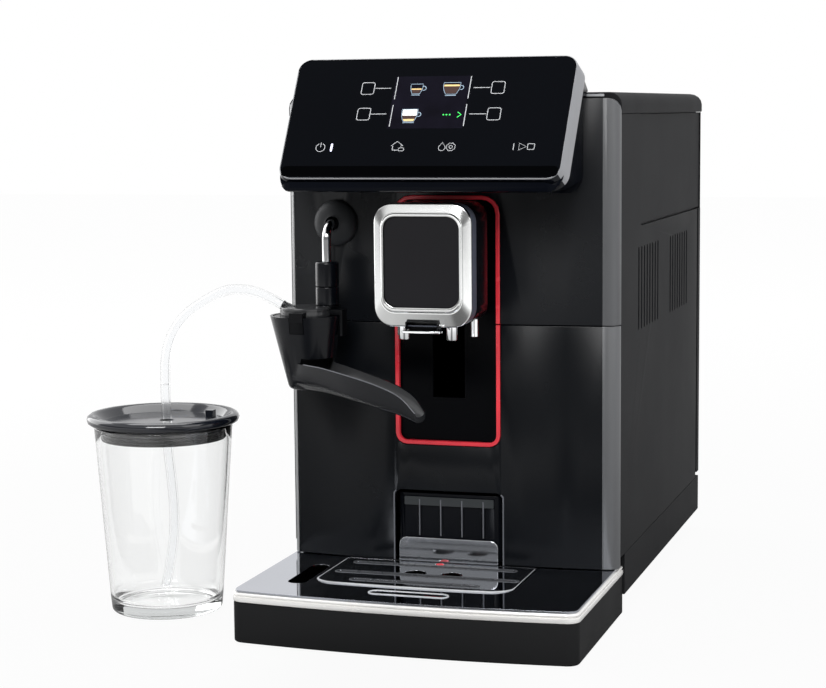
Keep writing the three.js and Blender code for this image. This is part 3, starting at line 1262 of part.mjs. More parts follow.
function spoutBody() {
  const half = SPOUT_HALF - FIT;
  const front = RING_BACK + FIT;
  const block = slabY(oblong(-half, BODY_LOW, half, SPOUT_HIGH - FIT, SPOUT_RADIUS), front, SPOUT_BACK);
  const plan = slab(outline([
    [-half, front], [half, front],
    [half, SPOUT_BACK, SPOUT_RADIUS / 2], [-half, SPOUT_BACK, SPOUT_RADIUS / 2],
  ]), 0, TOP);
  const neck = box(-NECK_HALF, SPOUT_BACK - OVER, NECK_LOW, NECK_HALF, NECK_BACK + SLIDER_THICK, NECK_HIGH);
  const slider = box(
    -SLIDER_HALF, NECK_BACK, NECK_LOW - OVER, SLIDER_HALF, NECK_BACK + SLIDER_THICK, NECK_HIGH + OVER);
  const tab = slabY(
    oblong(-TAB_HALF, TAB_LOW, TAB_HALF, TAB_LOW + TAB_HALF / 2), SPOUT_FRONT + FIT, front + OVER);
  const slims = [-1, 1].map((side) => {
    const outlet = round(SLIM_RADIUS, COARSE, SLIM_LOW, BODY_LOW + OVER, side * SLIM_X, SLIM_Y);
    const bore = round(SLIM_RADIUS / 2, COARSE, SLIM_LOW - OVER, BODY_LOW, side * SLIM_X, SLIM_Y);
    return cut(outlet, bore);
  });
  return join(block.intersect(plan), neck, slider, tab, ...slims);
}

function spoutLip() {
  return slab(
    oblong(-LIP_HALF, SPOUT_FRONT - THIN + FIT, LIP_HALF, SPOUT_FRONT - THIN + LIP_DEEP, THIN),
    LIP_LOW, TAB_LOW - FIT);
}

function nozzle() {
  const top = BODY_LOW - FIT;
  return turned([
    [0, NOZZLE_LOW + OVER], [BORE, NOZZLE_LOW + OVER], [BORE, NOZZLE_LOW],
    [NOZZLE_RADIUS - RUN, NOZZLE_LOW],
    [NOZZLE_RADIUS, NOZZLE_LOW + RUN], [NOZZLE_RADIUS, top], [0, top],
  ], ROUND);
}

function trayPlan(inset, back) {
  return bowedPlan(TRAY_HALF - inset, inset, TRAY_BOW, back, TRAY_RADIUS - inset);
}

function traySkirt() {
  return cut(
    slab(trayPlan(0, TRAY_BACK), SKIRT_LOW, TRIM_LOW - FIT),
    slab(trayPlan(WALL, TRAY_BACK + OVER), SKIRT_LOW - OVER, TRIM_LOW + OVER));
}

function trayTrim() {
  return cut(
    slab(trayPlan(-TRIM_PROUD, TRAY_BACK), TRIM_LOW, TRIM_HIGH),
    slab(trayPlan(WALL, TRAY_BACK + OVER), TRIM_LOW - OVER, TRIM_HIGH + OVER));
}

function trayBasin() {
  const inset = WALL + FIT;
  const inner = inset + BASIN_WALL;
  const shell = cut(
    slab(trayPlan(inset, BASIN_BACK), BASIN_LOW, BASIN_TOP),
    slab(trayPlan(inner, BASIN_BACK - BASIN_WALL), BASIN_LOW + BASIN_WALL, BASIN_TOP + OVER));
  const carrier = box(
    -BIN_HALF + OVER, BASIN_BACK - BASIN_WALL, BASIN_TOP - BASIN_WALL,
    BIN_HALF - OVER, BIN_BACK, BIN_LOW - FIT);
  return join(shell, carrier);
}

function grillePlan(grow) {
  const bow = THIN;
  return outline([
    [GRILLE_LEFT - grow, GRILLE_FRONT + bow - grow, GRILLE_RADIUS],
    [(GRILLE_LEFT + GRILLE_RIGHT) / 2, GRILLE_FRONT - grow],
    [GRILLE_RIGHT + grow, GRILLE_FRONT + bow - grow, GRILLE_RADIUS],
    [GRILLE_RIGHT + grow, GRILLE_BACK + grow, WALL], [GRILLE_LEFT - grow, GRILLE_BACK + grow, WALL],
  ]);
}

function trayPlate() {
  const low = BASIN_TOP + FIT;
  const plate = slab(trayPlan(PLATE_INSET, PLATE_BACK), low, PLATE_TOP);
  const oval = slab(oblong(
    OVAL_X - OVAL_WIDE / 2, OVAL_FRONT, OVAL_X + OVAL_WIDE / 2, OVAL_FRONT + OVAL_LONG,
    OVAL_WIDE * END_SHARE),
  low - OVER, PLATE_TOP + OVER);
  const finger = slab(oblong(
    -FINGER_HALF, FINGER_Y - FINGER_WIDE / 2, FINGER_HALF, FINGER_Y + FINGER_WIDE / 2,
    FINGER_WIDE * END_SHARE), low - OVER, PLATE_TOP + OVER);
  return cut(plate, slab(grillePlan(RUN), low - OVER, PLATE_TOP + OVER), oval, finger);
}

function trayUpstand() {
  return slabY(outline([
    [-UPSTAND_HALF, PLATE_TOP + FIT], [UPSTAND_HALF, PLATE_TOP + FIT],
    [UPSTAND_HALF, UPSTAND_HIGH, UPSTAND_RADIUS], [-UPSTAND_HALF, UPSTAND_HIGH, UPSTAND_RADIUS],
  ]), GRILLE_BACK + RUN, GRILLE_BACK + RUN + UPSTAND_THICK);
}

// A place on the grille from shares of its width and its depth
function onGrille([across, behind]) {
  return [
    GRILLE_LEFT + (GRILLE_RIGHT - GRILLE_LEFT) * across, GRILLE_FRONT + (GRILLE_BACK - GRILLE_FRONT) * behind,
  ];
}

function grilleSlot([start, end, behind]) {
  const [left, y] = onGrille([start, behind]);
  const [right] = onGrille([end, behind]);
  return slab(
    oblong(left, y - SLOT_WIDE / 2, right, y + SLOT_WIDE / 2, SLOT_WIDE * END_SHARE),
    BASIN_TOP - OVER, PLATE_TOP + OVER);
}

function dripGrille() {
  const low = BASIN_TOP + FIT;
  const plate = slab(grillePlan(0), low, PLATE_TOP);
  const holes = HOLE_SHARES.map((shares) => round(
    HOLE_RADIUS, ROUND, low - OVER, PLATE_TOP + OVER, ...onGrille(shares)));
  const floatHole = round(FLOAT_RADIUS + RUN, COARSE, low - OVER, PLATE_TOP + OVER, FLOAT_X, FLOAT_Y);
  const legs = [GRILLE_LEFT + GRILLE_RADIUS, GRILLE_RIGHT - GRILLE_RADIUS].flatMap((x) => [
    GRILLE_FRONT + FINGER_WIDE, GRILLE_BACK - FINGER_WIDE / 2,
  ].map((y) => round(WALL, COARSE, BASIN_LOW + BASIN_WALL + FIT, PLATE_TOP - PLATE_THICK / 2, x, y)));
  return join(cut(plate, ...SLOT_SHARES.map(grilleSlot), ...holes, floatHole), ...legs);
}

function trayFloat() {
  const low = BASIN_LOW + BASIN_WALL + FIT;
  return turned([
    [0, low], [FLOAT_DISC, low], [FLOAT_DISC, low + FLOAT_THICK], [FLOAT_RADIUS, low + FLOAT_THICK],
    [FLOAT_RADIUS, PLATE_TOP], [FLOAT_RADIUS - RUN, PLATE_TOP + RUN], [0, PLATE_TOP + RUN],
  ], COARSE);
}

function groundsContainer() {
  const plan = oblong(-BIN_HALF, BIN_FRONT, BIN_HALF, BIN_BACK, BIN_RADIUS);
  const inner = oblong(
    -BIN_HALF + THIN, BIN_FRONT + THIN, BIN_HALF - THIN, BIN_BACK - THIN, BIN_RADIUS - THIN);
  const shell = cut(slab(plan, BIN_LOW, BIN_HIGH), slab(inner, BIN_LOW + THIN, BIN_HIGH + OVER));
  const ribs = Array.from({ length: RIBS }, (_, i) => {
    const x = RIB_MIDDLE + (i - (RIBS - 1) / 2) * RIB_PITCH;
    return box(
      x - RIB_WIDE / 2, BIN_FRONT - RIB_PROUD, RIB_LOW,
      x + RIB_WIDE / 2, BIN_FRONT + FIT, BAND_LOW + FIT);
  });
  const band = box(
    -BIN_HALF + BIN_RADIUS, BIN_FRONT - RIB_PROUD, BAND_LOW,
    BIN_HALF - BIN_RADIUS, BIN_FRONT + FIT, BAND_HIGH);
  return join(shell, band, ...ribs);
}

function beanHopper() {
  const back = LID_BACK - OVER;
  const rim = LID_AXIS_Z - LID_THICK / 2 - RUN;
  const wide = (inset, z) => hopperRing(
    HOPPER_LEFT + inset, HOPPER_FRONT + inset, HOPPER_RIGHT - inset, back - inset,
    HOPPER_RADIUS - inset, z);
  const narrow = (inset, z) => hopperRing(
    GRIND_X - THROAT + inset, GRIND_Y - THROAT + inset, GRIND_X + THROAT - inset, GRIND_Y + THROAT - inset,
    HOPPER_RADIUS - inset, z);
  const outer = loft([
    wide(0, rim), wide(0, FUNNEL_HIGH), narrow(0, DECK + 2 * OVER), narrow(0, DECK + FIT),
  ]);
  const inner = loft([
    wide(THIN, TOP), wide(THIN, FUNNEL_HIGH + THIN), narrow(THIN, DECK + 2 * OVER + THIN),
    narrow(THIN, DECK - OVER),
  ]);
  const boss = round(KNOB_RADIUS, ROUND, FUNNEL_HIGH - 5 * OVER, KNOB_SEAT, KNOB_X, KNOB_Y);
  return join(cut(outer, inner), boss.intersect(outer));
}

function hopperRing(left, front, right, back, radius, z) {
  return oblong(left, front, right, back, radius).getPoints()
    .map((p) => new THREE.Vector3(p.x, p.y, z));
}

// A flush lid with a grip ridge, its rear edge round about the hinge line
function flushLid([left, front, right, back], radius) {
  const low = TOP - LID_THICK;
  const end = back + LID_THICK / 2;
  const edge = LID_THICK * END_SHARE;
  const plate = slabX(outline([
    [front, low], [end, low, edge], [end, TOP, edge], [front, TOP],
  ]), left, right);
  const plan = slab(outline([
    [left, front, radius], [right, front, radius], [right, end], [left, end],
  ]), low, TOP + LID_THICK);
  const middle = (left + right) / 2;
  const ridge = box(
    middle - 2 * OVER, front + LID_THICK, TOP - LID_THICK / 2, middle + 2 * OVER, front + 2 * LID_THICK,
    TOP + LID_THICK / 2);
  return join(plate, ridge).intersect(plan);
}

function toothed(radius, depth, teeth) {
  const shares = [0, 0.18, 0.5, 0.68];
  const points = Array.from({ length: teeth }, (_, i) => shares.map((share, k) => {
    const angle = ((i + share) / teeth) * 2 * Math.PI;
    const reach = k < 2 ? radius : radius - depth;
    return new THREE.Vector2(reach * Math.cos(angle), reach * Math.sin(angle));
  })).flat();
  return new THREE.Shape(points);
}

function grindKnob() {
  const low = KNOB_SEAT + FIT;
  const grip = slab(toothed(KNOB_RADIUS, RUN, KNOB_RIBS), low, low + KNOB_HIGH);
  const hand = box(-RUN, 0, low + KNOB_HIGH - RUN, RUN, KNOB_RADIUS - THIN, low + KNOB_HIGH + RUN);
  return join(grip, hand);
}

function pregroundChute() {
  const [left, front, right, back] = CHUTE;
  const high = TOP - WALL - FIT;
  const low = BREW_TOP + 2 * OVER;
  const outer = loft([
    hopperRing(left - WALL, front - WALL, right + WALL, back + WALL + THIN, WALL, high),
    hopperRing(left - WALL, front - WALL, right + WALL, back + WALL + THIN, WALL, high - THIN),
    hopperRing(
      BREW_X - KNOB_RADIUS, BREW_Y - KNOB_RADIUS, BREW_X + KNOB_RADIUS, BREW_Y + KNOB_RADIUS, WALL, low),
  ]);
  const inner = loft([
    hopperRing(left - RUN, front - RUN, right + RUN, back + THIN + RUN, RUN, TOP),
    hopperRing(left - RUN, front - RUN, right + RUN, back + THIN + RUN, RUN, high - THIN),
    hopperRing(
      BREW_X - KNOB_RADIUS + THIN, BREW_Y - KNOB_RADIUS + THIN, BREW_X + KNOB_RADIUS - THIN,
      BREW_Y + KNOB_RADIUS - THIN, RUN, low - THIN),
  ]);
  return cut(outer, inner);
}

function waterTank() {
  const [left, front, right, back] = TANK;
  const low = TANK_SHELF + FIT;
  const high = TOP - LID_THICK - FIT;
  const wall = TANK_WALL_THICK;
  const shell = cut(
    slab(oblong(left, front, right, back, TANK_RADIUS), low, high),
    slab(
      oblong(left + wall, front + wall, right - wall, back - wall, TANK_RADIUS - wall),
      low + wall, high + OVER));
  const valve = round(
    VALVE_RADIUS, ROUND, low - VALVE_LONG, low + wall, (left + right) / 2, back - 2 * TANK_RADIUS);
  return join(shell, valve);
}

function grinder() {
  const top = DECK - WALL - FIT;
  const neck = top - 3 * OVER;
  return turned([
    [0, TANK_SHELF + 2 * OVER], [GRIND_RADIUS, TANK_SHELF + 2 * OVER], [GRIND_RADIUS, neck - 2 * OVER],
    [THROAT + THIN, neck], [THROAT + THIN, top], [BURR + THIN, top],
    [BURR + THIN, neck - THIN], [0, neck - THIN],
  ], ROUND);
}

// The inner burr: a fluted cone
function grinderBurr() {
  const low = DECK - WALL - 3 * OVER - THIN;
  const cone = turned([
    [0, low], [BURR, low], [BURR, low + WALL], [BURR / 2, low + 2 * OVER], [0, low + 2 * OVER],
  ], ROUND);
  return cone.intersect(slab(toothed(BURR + THIN, THIN + THIN, KNOB_RIBS), low, low + 2 * OVER));
}

function brewGroup() {
  const low = BAY_FLOOR + FIT;
  const plates = [
    box(BREW_LEFT, BREW_FRONT, low, BREW_RIGHT, BREW_BACK, low + BREW_PLATE),
    box(BREW_LEFT, BREW_FRONT, BREW_TOP - BREW_PLATE, BREW_RIGHT, BREW_BACK, BREW_TOP),
    box(BREW_LEFT, BREW_FRONT, low, BREW_LEFT + BREW_PLATE, BREW_BACK, BREW_TOP),
    box(BREW_LEFT, BREW_BACK - BREW_PLATE, low, BREW_RIGHT, BREW_BACK, BREW_TOP),
  ];
  const barrel = round(CHAMBER, FINE, CHAMBER_LOW, CHAMBER_HIGH, BREW_X, BREW_Y);
  const webs = [
    box(BREW_LEFT, BREW_Y - OVER, CHAMBER_LOW, BREW_X, BREW_Y + OVER, CHAMBER_HIGH),
    box(BREW_X - OVER, BREW_Y, CHAMBER_LOW, BREW_X + OVER, BREW_BACK, CHAMBER_HIGH),
  ];
  const bore = round(CHAMBER_BORE, FINE, CHAMBER_LOW - OVER, CHAMBER_HIGH + OVER, BREW_X, BREW_Y);
  const fill = round(CHAMBER_BORE - THIN, ROUND, BREW_TOP - 2 * BREW_PLATE, TOP, BREW_X, BREW_Y);
  return cut(join(...plates, barrel, ...webs), bore, fill);
}

function brewPiston() {
  const low = BAY_FLOOR + FIT + BREW_PLATE + RUN;
  const arm = low + 2 * WALL;
  const head = round(CHAMBER_BORE - RUN, FINE, CHAMBER_LOW + WALL, CHAMBER_LOW + 4 * WALL, 0, 0);
  const rod = round(OVER, ROUND, low, CHAMBER_LOW + 2 * WALL, 0, 0);
  const reach = SCREW_X - BREW_X;
  const bar = box(0, -OVER, low, reach, OVER, arm);
  const nut = round(SCREW_RADIUS + WALL, ROUND, low, arm, reach, 0);
  const way = round(SCREW_RADIUS + RUN, COARSE, low - OVER, arm + OVER, reach, 0);
  return cut(join(head, rod, bar, nut), way);
}

function brewGear() {
  const low = BAY_FLOOR + 2 * FIT + BREW_PLATE;
  const high = BREW_TOP - BREW_PLATE - FIT;
  const shaft = round(SCREW_RADIUS, COARSE, low, high);
  const wheel = slab(toothed(GEAR_RADIUS, THIN, GEAR_TEETH), high - WALL - GEAR_THICK, high - WALL);
  return join(shaft, wheel);
}

function mainsInlet() {
  const front = BACK - WALL - FIT;
  const back = front - INLET_DEEP;
  const half = INLET_WIDE / 2 + INLET_RIM;
  const module = slabY(oblong(
    INLET_X - half, INLET_Z - INLET_TALL / 2 - INLET_RIM,
    INLET_X + half, SWITCH_Z + SWITCH_TALL / 2 + 2 * INLET_RIM), back, front);
  const collar = slabY(inletOutline(0), back, BACK);
  const cavity = slabY(inletOutline(-INLET_RIM, INLET_RIM), back + INLET_RIM, BACK + OVER);
  const well = slabY(switchOutline(RUN), BACK - 2 * SWITCH_DEEP, BACK + OVER);
  return cut(join(module, collar), cavity, well);
}

// The rocker's face dips in the middle; its own origin is the hinge line
function rockerSwitch() {
  const half = SWITCH_TALL / 2 - RUN;
  const profile = outline([
    [-RUN, -half], [SWITCH_FACE, -half], [SWITCH_FACE - SWITCH_DIP, 0], [SWITCH_FACE, half], [-RUN, half],
  ]);
  return slabX(profile, -SWITCH_WIDE / 2, SWITCH_WIDE / 2);
}

// Assembly
const group = new THREE.Group();
const machine = subgroup(group, MACHINE_X, MACHINE_Y, 0);

piece(machine, 'base_pan', basePan(), 'matt');
[-1, 1].forEach((side) => {
  const hand = side < 0 ? 'left' : 'right';
  piece(machine, `foot_front_${hand}`, foot(), 'rubber', [side * FOOT_SIDE, FOOT_FRONT, 0]);
  piece(machine, `foot_rear_${hand}`, foot(), 'rubber', [side * FOOT_SIDE, FOOT_REAR, 0]);
});

piece(machine, 'chassis', chassis(), 'grey');
piece(machine, 'inner_walls', innerWalls(), 'grey');
piece(machine, 'left_panel', leftPanel(), 'matt');
piece(machine, 'service_door', serviceDoor(), 'matt');
piece(machine, 'upper_side_left', upperStrip(-1), 'matt');
piece(machine, 'upper_side_right', upperStrip(1), 'matt');
piece(machine, 'rear_panel', rearPanel(), 'matt');
piece(machine, 'top_cover', topCover(), 'matt');
piece(machine, 'upper_fascia', upperFascia(), 'gloss');
piece(machine, 'lower_fascia', lowerFascia(), 'gloss');
piece(machine, 'red_trim_upper', redTrim(SEAM + FIT, TOP), 'red');
piece(machine, 'red_trim_lower', redTrim(0, SEAM - FIT), 'red');
piece(machine, 'spout_guide', spoutGuide(), 'black');
piece(machine, 'panel_housing', panelHousing(), 'gloss');

const panel = subgroup(machine, 0, GLASS_FOOT[0], GLASS_FOOT[1]);
panel.rotation.x = GLASS_SLOPE;
piece(panel, 'panel_frame', panelFrame(), 'grey');
piece(panel, 'panel_glass', panelGlass(), 'gloss');
piece(panel, 'panel_display', panelDisplay(), 'black');

piece(machine, 'steam_socket', steamSocket(), 'black');
piece(machine, 'mains_inlet', mainsInlet(), 'black');
const rocker = piece(
  machine, 'rocker_switch', rockerSwitch(), 'black', [INLET_X, BACK - SWITCH_DEEP, SWITCH_Z]);
rocker.rotation.x = SWITCH_TILT;

piece(machine, 'spout_body', spoutBody(), 'gloss');
piece(machine, 'spout_ring', spoutRing(), 'chrome');
piece(machine, 'spout_plate', spoutPlate(), 'matt');
piece(machine, 'spout_lip', spoutLip(), 'chrome');
piece(machine, 'spout_nozzle_left', nozzle(), 'black', [-NOZZLE_X, NOZZLE_Y, 0]);
piece(machine, 'spout_nozzle_right', nozzle(), 'black', [NOZZLE_X, NOZZLE_Y, 0]);

piece(machine, 'steam_tube', steamTube(), 'chrome');
piece(machine, 'sleeve_upper', sleeve(SLEEVE_SEAM + FIT, SLEEVE_TOP), 'black', [PIVOT_X, PIPE_Y, 0]);
piece(machine, 'sleeve_lower', sleeve(FROTH_TOP + FIT, SLEEVE_SEAM), 'black', [PIVOT_X, PIPE_Y, 0]);
piece(machine, 'frother_lid', frotherLid(), 'black');
piece(machine, 'frother_cup', frotherCup(), 'black');

piece(machine, 'tray_skirt', traySkirt(), 'black');
piece(machine, 'tray_trim', trayTrim(), 'steel');
piece(machine, 'tray_basin', trayBasin(), 'black');
piece(machine, 'tray_plate', trayPlate(), 'steel');
piece(machine, 'tray_upstand', trayUpstand(), 'chrome');
piece(machine, 'drip_grille', dripGrille(), 'steel');
piece(machine, 'tray_float', trayFloat(), 'red', [FLOAT_X, FLOAT_Y, 0]);
piece(machine, 'grounds_container', groundsContainer(), 'black');

piece(machine, 'bean_hopper', beanHopper(), 'smoke');
piece(machine, 'hopper_lid', flushLid(HOPPER, HOPPER_RADIUS), 'smoke');
piece(machine, 'grind_knob', grindKnob(), 'black', [KNOB_X, KNOB_Y, 0]);
piece(machine, 'preground_chute', pregroundChute(), 'black');
piece(machine, 'preground_lid', flushLid(CHUTE, WALL), 'matt');
piece(machine, 'water_tank', waterTank(), 'smoke');
piece(machine, 'tank_lid', flushLid(TANK, TANK_RADIUS), 'matt');
piece(machine, 'grinder', grinder(), 'grey', [GRIND_X, GRIND_Y, 0]);
piece(machine, 'grinder_burr', grinderBurr(), 'steel', [GRIND_X, GRIND_Y, 0]);
piece(machine, 'brew_group', brewGroup(), 'cream');
piece(machine, 'brew_piston', brewPiston(), 'grey', [BREW_X, BREW_Y, 0]);
piece(machine, 'brew_gear', brewGear(), 'cream', [SCREW_X, BREW_Y, 0]);

const cup = subgroup(machine, CUP_X, CUP_Y, 0);
piece(cup, 'milk_glass', milkGlass(), 'clear');
piece(cup, 'glass_lid', glassLid(), 'gloss');
piece(machine, 'milk_hose_upper', hose(HOSE_ARCH), 'clear');
piece(machine, 'milk_hose_lower', hose(HOSE_FALL), 'clear');

export default group;
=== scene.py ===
from math import cos, hypot, pi, radians, sin, sqrt

import bmesh
import bpy
from mathutils import Matrix, Vector


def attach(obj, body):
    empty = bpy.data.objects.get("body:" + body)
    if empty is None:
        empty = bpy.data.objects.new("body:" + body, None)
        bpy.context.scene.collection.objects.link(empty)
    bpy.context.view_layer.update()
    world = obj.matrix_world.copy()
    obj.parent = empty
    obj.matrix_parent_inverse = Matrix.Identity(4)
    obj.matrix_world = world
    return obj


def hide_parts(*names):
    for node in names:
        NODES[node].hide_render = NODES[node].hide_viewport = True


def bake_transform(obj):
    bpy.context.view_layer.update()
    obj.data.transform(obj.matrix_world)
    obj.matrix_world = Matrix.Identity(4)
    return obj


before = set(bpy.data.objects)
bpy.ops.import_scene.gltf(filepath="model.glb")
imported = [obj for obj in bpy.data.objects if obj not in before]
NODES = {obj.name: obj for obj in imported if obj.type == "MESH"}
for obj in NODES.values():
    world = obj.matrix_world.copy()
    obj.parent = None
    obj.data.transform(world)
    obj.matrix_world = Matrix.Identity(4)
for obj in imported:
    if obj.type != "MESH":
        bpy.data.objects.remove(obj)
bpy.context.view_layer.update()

# The machine's own frame, in millimetres: X from its middle, Y from the drip tray's
# front corners, Z from the counter. This is where it lies in the row frame.
MACHINE = Vector((62.45, -211.6, 0.0))


def at(x, y, z):
    """A place in the machine's own frame, in the row frame in metres."""
    return (Vector((x, y, z)) + MACHINE) / 1000


# ---------------- camera
CAMERA_PLACE = (358.66, -1124.88, 325.33)
CAMERA_YAW, CAMERA_PITCH, CAMERA_ROLL = 17.22, 6.62, -0.53
CAMERA_LENS, CAMERA_SENSOR, CAMERA_REACH = 88.2, 36, 50


def make_camera():
    """The photo's camera: turned left by its yaw, down by its pitch and tilted by its roll."""
    yaw, pitch, roll = (radians(a) for a in (CAMERA_YAW, CAMERA_PITCH, CAMERA_ROLL))
    look = Vector((-sin(yaw) * cos(pitch), cos(yaw) * cos(pitch), -sin(pitch)))
    right = Vector((cos(yaw), sin(yaw), 0))
    up = right.cross(look)
    across = cos(roll) * right + sin(roll) * up
    over = -sin(roll) * right + cos(roll) * up
    data = bpy.data.cameras.new("camera")
    data.sensor_width = CAMERA_SENSOR
    data.lens = CAMERA_LENS
    data.clip_end = CAMERA_REACH
    camera = bpy.data.objects.new("camera", data)
    bpy.context.scene.collection.objects.link(camera)
    turn = Matrix((across, over, -look)).transposed()
    camera.matrix_world = Matrix.Translation(at(*CAMERA_PLACE)) @ turn.to_4x4()
    bpy.context.scene.camera = camera


# ---------------- materials
NOISE_LOW, NOISE_HIGH = 0.3, 0.7
GRAIN_DEPTH = 0.0002
COAT_ROUGH = 0.04
GLOW_ROUGH = 0.35


def nodes_of(name):
    material = bpy.data.materials.new(name)
    material.use_nodes = True
    tree = material.node_tree
    return material, tree, tree.nodes["Principled BSDF"]


def add(tree, kind, inputs=None, **settings):
    """A new shader node. Each input is a value, or the output of a node to link to it."""
    node = tree.nodes.new("ShaderNode" + kind)
    for name, value in settings.items():
        setattr(node, name, value)
    for key, value in (inputs or {}).items():
        if isinstance(value, bpy.types.NodeSocket):
            tree.links.new(value, node.inputs[key])
        else:
            node.inputs[key].default_value = value
    return node


def math_of(tree, operation, *values):
    return add(tree, "Math", dict(enumerate(values)), operation=operation).outputs[0]


def noise_of(tree, scale, detail=3.0, stretch=(1, 1, 1)):
    place = add(tree, "TexCoord").outputs["Object"]
    mapping = add(tree, "Mapping", {"Vector": place, "Scale": stretch})
    return add(tree, "TexNoise", {
        "Vector": mapping.outputs["Vector"], "Scale": scale, "Detail": detail}).outputs["Fac"]


def spread(tree, fac, low, high, start=NOISE_LOW, end=NOISE_HIGH):
    """Moves what lies between start and end to between low and high."""
    return add(tree, "MapRange", {
        "Value": fac, "From Min": start, "From Max": end, "To Min": low, "To Max": high,
    }).outputs["Result"]


def two_tones(tree, fac, low, high, start=0.0, end=1.0):
    ramp = add(tree, "ValToRGB", {"Fac": fac})
    for stop, position, colour in zip(ramp.color_ramp.elements, (start, end), (low, high)):
        stop.position = position
        stop.color = (*colour, 1)
    return ramp.outputs["Color"]


def finish_of(name, colour, rough, metal=0.0, shade=0.12, wear=0.03, grain=0.0, grain_scale=2400,
              stretch=(1, 1, 1), coat=0.0, blotch=18, specular=0.5):
    """A moulded, painted or metal finish: slow changes of colour and polish, and a fine grain."""
    material, tree, shader = nodes_of(name)
    tone = two_tones(
        tree, noise_of(tree, blotch), [c * (1 - shade) for c in colour],
        [min(1, c * (1 + shade)) for c in colour], NOISE_LOW, NOISE_HIGH)
    tree.links.new(tone, shader.inputs["Base Color"])
    polish = noise_of(tree, blotch * 4, 5, stretch)
    tree.links.new(
        spread(tree, polish, max(0.0, rough - wear), rough + wear), shader.inputs["Roughness"])
    shader.inputs["Metallic"].default_value = metal
    shader.inputs["Specular IOR Level"].default_value = specular
    if coat:
        shader.inputs["Coat Weight"].default_value = coat
        shader.inputs["Coat Roughness"].default_value = COAT_ROUGH
    if grain:
        bump = add(tree, "Bump", {
            "Strength": grain, "Distance": GRAIN_DEPTH,
            "Height": noise_of(tree, grain_scale, 2, stretch)})
        tree.links.new(bump.outputs["Normal"], shader.inputs["Normal"])
    return material


def clear_of(name, colour, rough, ior, density=0.0):
    """Clear glass or plastic. A density darkens it where light goes a long way through it."""
    material, tree, shader = nodes_of(name)
    shader.inputs["Base Color"].default_value = (*colour, 1)
    shader.inputs["IOR"].default_value = ior
    shader.inputs["Transmission Weight"].default_value = 1.0
    tree.links.new(
        spread(tree, noise_of(tree, 60), rough, rough + 0.02), shader.inputs["Roughness"])
    if density:
        depth = add(tree, "VolumeAbsorption", {"Color": (0.6, 0.62, 0.62, 1), "Density": density})
        tree.links.new(depth.outputs["Volume"], tree.nodes["Material Output"].inputs["Volume"])
    return material


def glow_of(name, colour, strength):
    """A lit mark on the screen, a little uneven."""
    material, tree, shader = nodes_of(name)
    tone = two_tones(tree, noise_of(tree, 120), [c * 0.85 for c in colour], colour)
    tree.links.new(tone, shader.inputs["Base Color"])
    tree.links.new(tone, shader.inputs["Emission Color"])
    shader.inputs["Emission Strength"].default_value = strength
    shader.inputs["Roughness"].default_value = GLOW_ROUGH
    return material


GLOSS = finish_of(
    "gloss_black", (0.004, 0.0048, 0.0075), 0.12, wear=0.02, coat=0.15, blotch=6, specular=0.25)
FASCIA = finish_of(
    "fascia_black", (0.0026, 0.0034, 0.0048), 0.26, shade=0.06, wear=0.02, grain=0.04, blotch=5,
    specular=0.22)
# The upper fascia's base is lighter than the lower one's: painted light for the reflections it
# catches.
FASCIA_LIT = finish_of(
    "fascia_upper_painted_light", (0.006, 0.007, 0.009), 0.28, shade=0.06, wear=0.02, grain=0.04, blotch=5,
    specular=0.28)
# Lighter greys for the fascia's round corners: painted reflections of the bright room at a grazing
# angle.
FLANK_REFLECTION = finish_of(
    "fascia_flank_painted_reflection", (0.108, 0.111, 0.116), 0.36, shade=0.05, grain=0.05, blotch=5, specular=0.4)
PALE_FLANK_REFLECTION = finish_of(
    "fascia_flank_pale_painted_reflection", (0.3, 0.305, 0.31), 0.36, shade=0.05, grain=0.05, blotch=5)
PANEL_FOOT = finish_of(
    "panel_foot", (0.0005, 0.0006, 0.0009), 0.04, wear=0.01, blotch=4, specular=0.03)
SLOT_SHEEN = finish_of(
    # Grey for the dished steel round the grille's slots: a painted reflection, darker than the
    # mirror steel.
    "slot_grey_painted_sheen", (0.1, 0.105, 0.115), 0.3, metal=0.3, shade=0.06, wear=0.05, blotch=40)
BIN_BLACK = finish_of(
    "bin_black", (0.0028, 0.0034, 0.005), 0.25, wear=0.02, blotch=8, specular=0.12)
BIN_GREY = finish_of("bin_grey", (0.03, 0.034, 0.036), 0.3, wear=0.02, blotch=8, specular=0.3)
# A pale grey for thin ribs and rims: painted highlights.
FINE_HIGHLIGHT = finish_of("fine_grey_painted_highlight", (0.12, 0.125, 0.14), 0.3, blotch=30)
# A pale grey for thin strips along edges: painted highlights.
EDGE_HIGHLIGHT = finish_of("pale_edge_painted_highlight", (0.5, 0.51, 0.53), 0.35, blotch=30, specular=0.4)
RECESS = finish_of(
    "recess_black", (0.0009, 0.0011, 0.0018), 0.3, grain=0.04, blotch=5, specular=0.05)
MATT = finish_of(
    "matt_grey", (0.0158, 0.0162, 0.0174), 0.55, shade=0.05, wear=0.02, grain=0.2,
    grain_scale=2600, blotch=5, specular=0.03)
SATIN = finish_of("satin_black", (0.0062, 0.0068, 0.0082), 0.3, grain=0.08, grain_scale=1800)
MILKER = finish_of(
    "frother_black", (0.0022, 0.0029, 0.0046), 0.22, wear=0.02, blotch=9, specular=0.3)
CAP_BLACK = finish_of(
    "cap_black", (0.0015, 0.0018, 0.0026), 0.3, wear=0.02, blotch=9, specular=0.15)
# The inside of the cup and the arm's channel in a lighter grey than the outside: painted light.
CHANNEL_LIT = finish_of("channel_painted_light", (0.045, 0.046, 0.048), 0.35, blotch=12, specular=0.4)
SHELL_BLACK = finish_of(
    "shell_black", (0.0018, 0.0026, 0.0052), 0.2, wear=0.02, blotch=6, specular=0.06)
DISC = finish_of("disc_grey", (0.03, 0.031, 0.033), 0.2, blotch=20, specular=0.6)
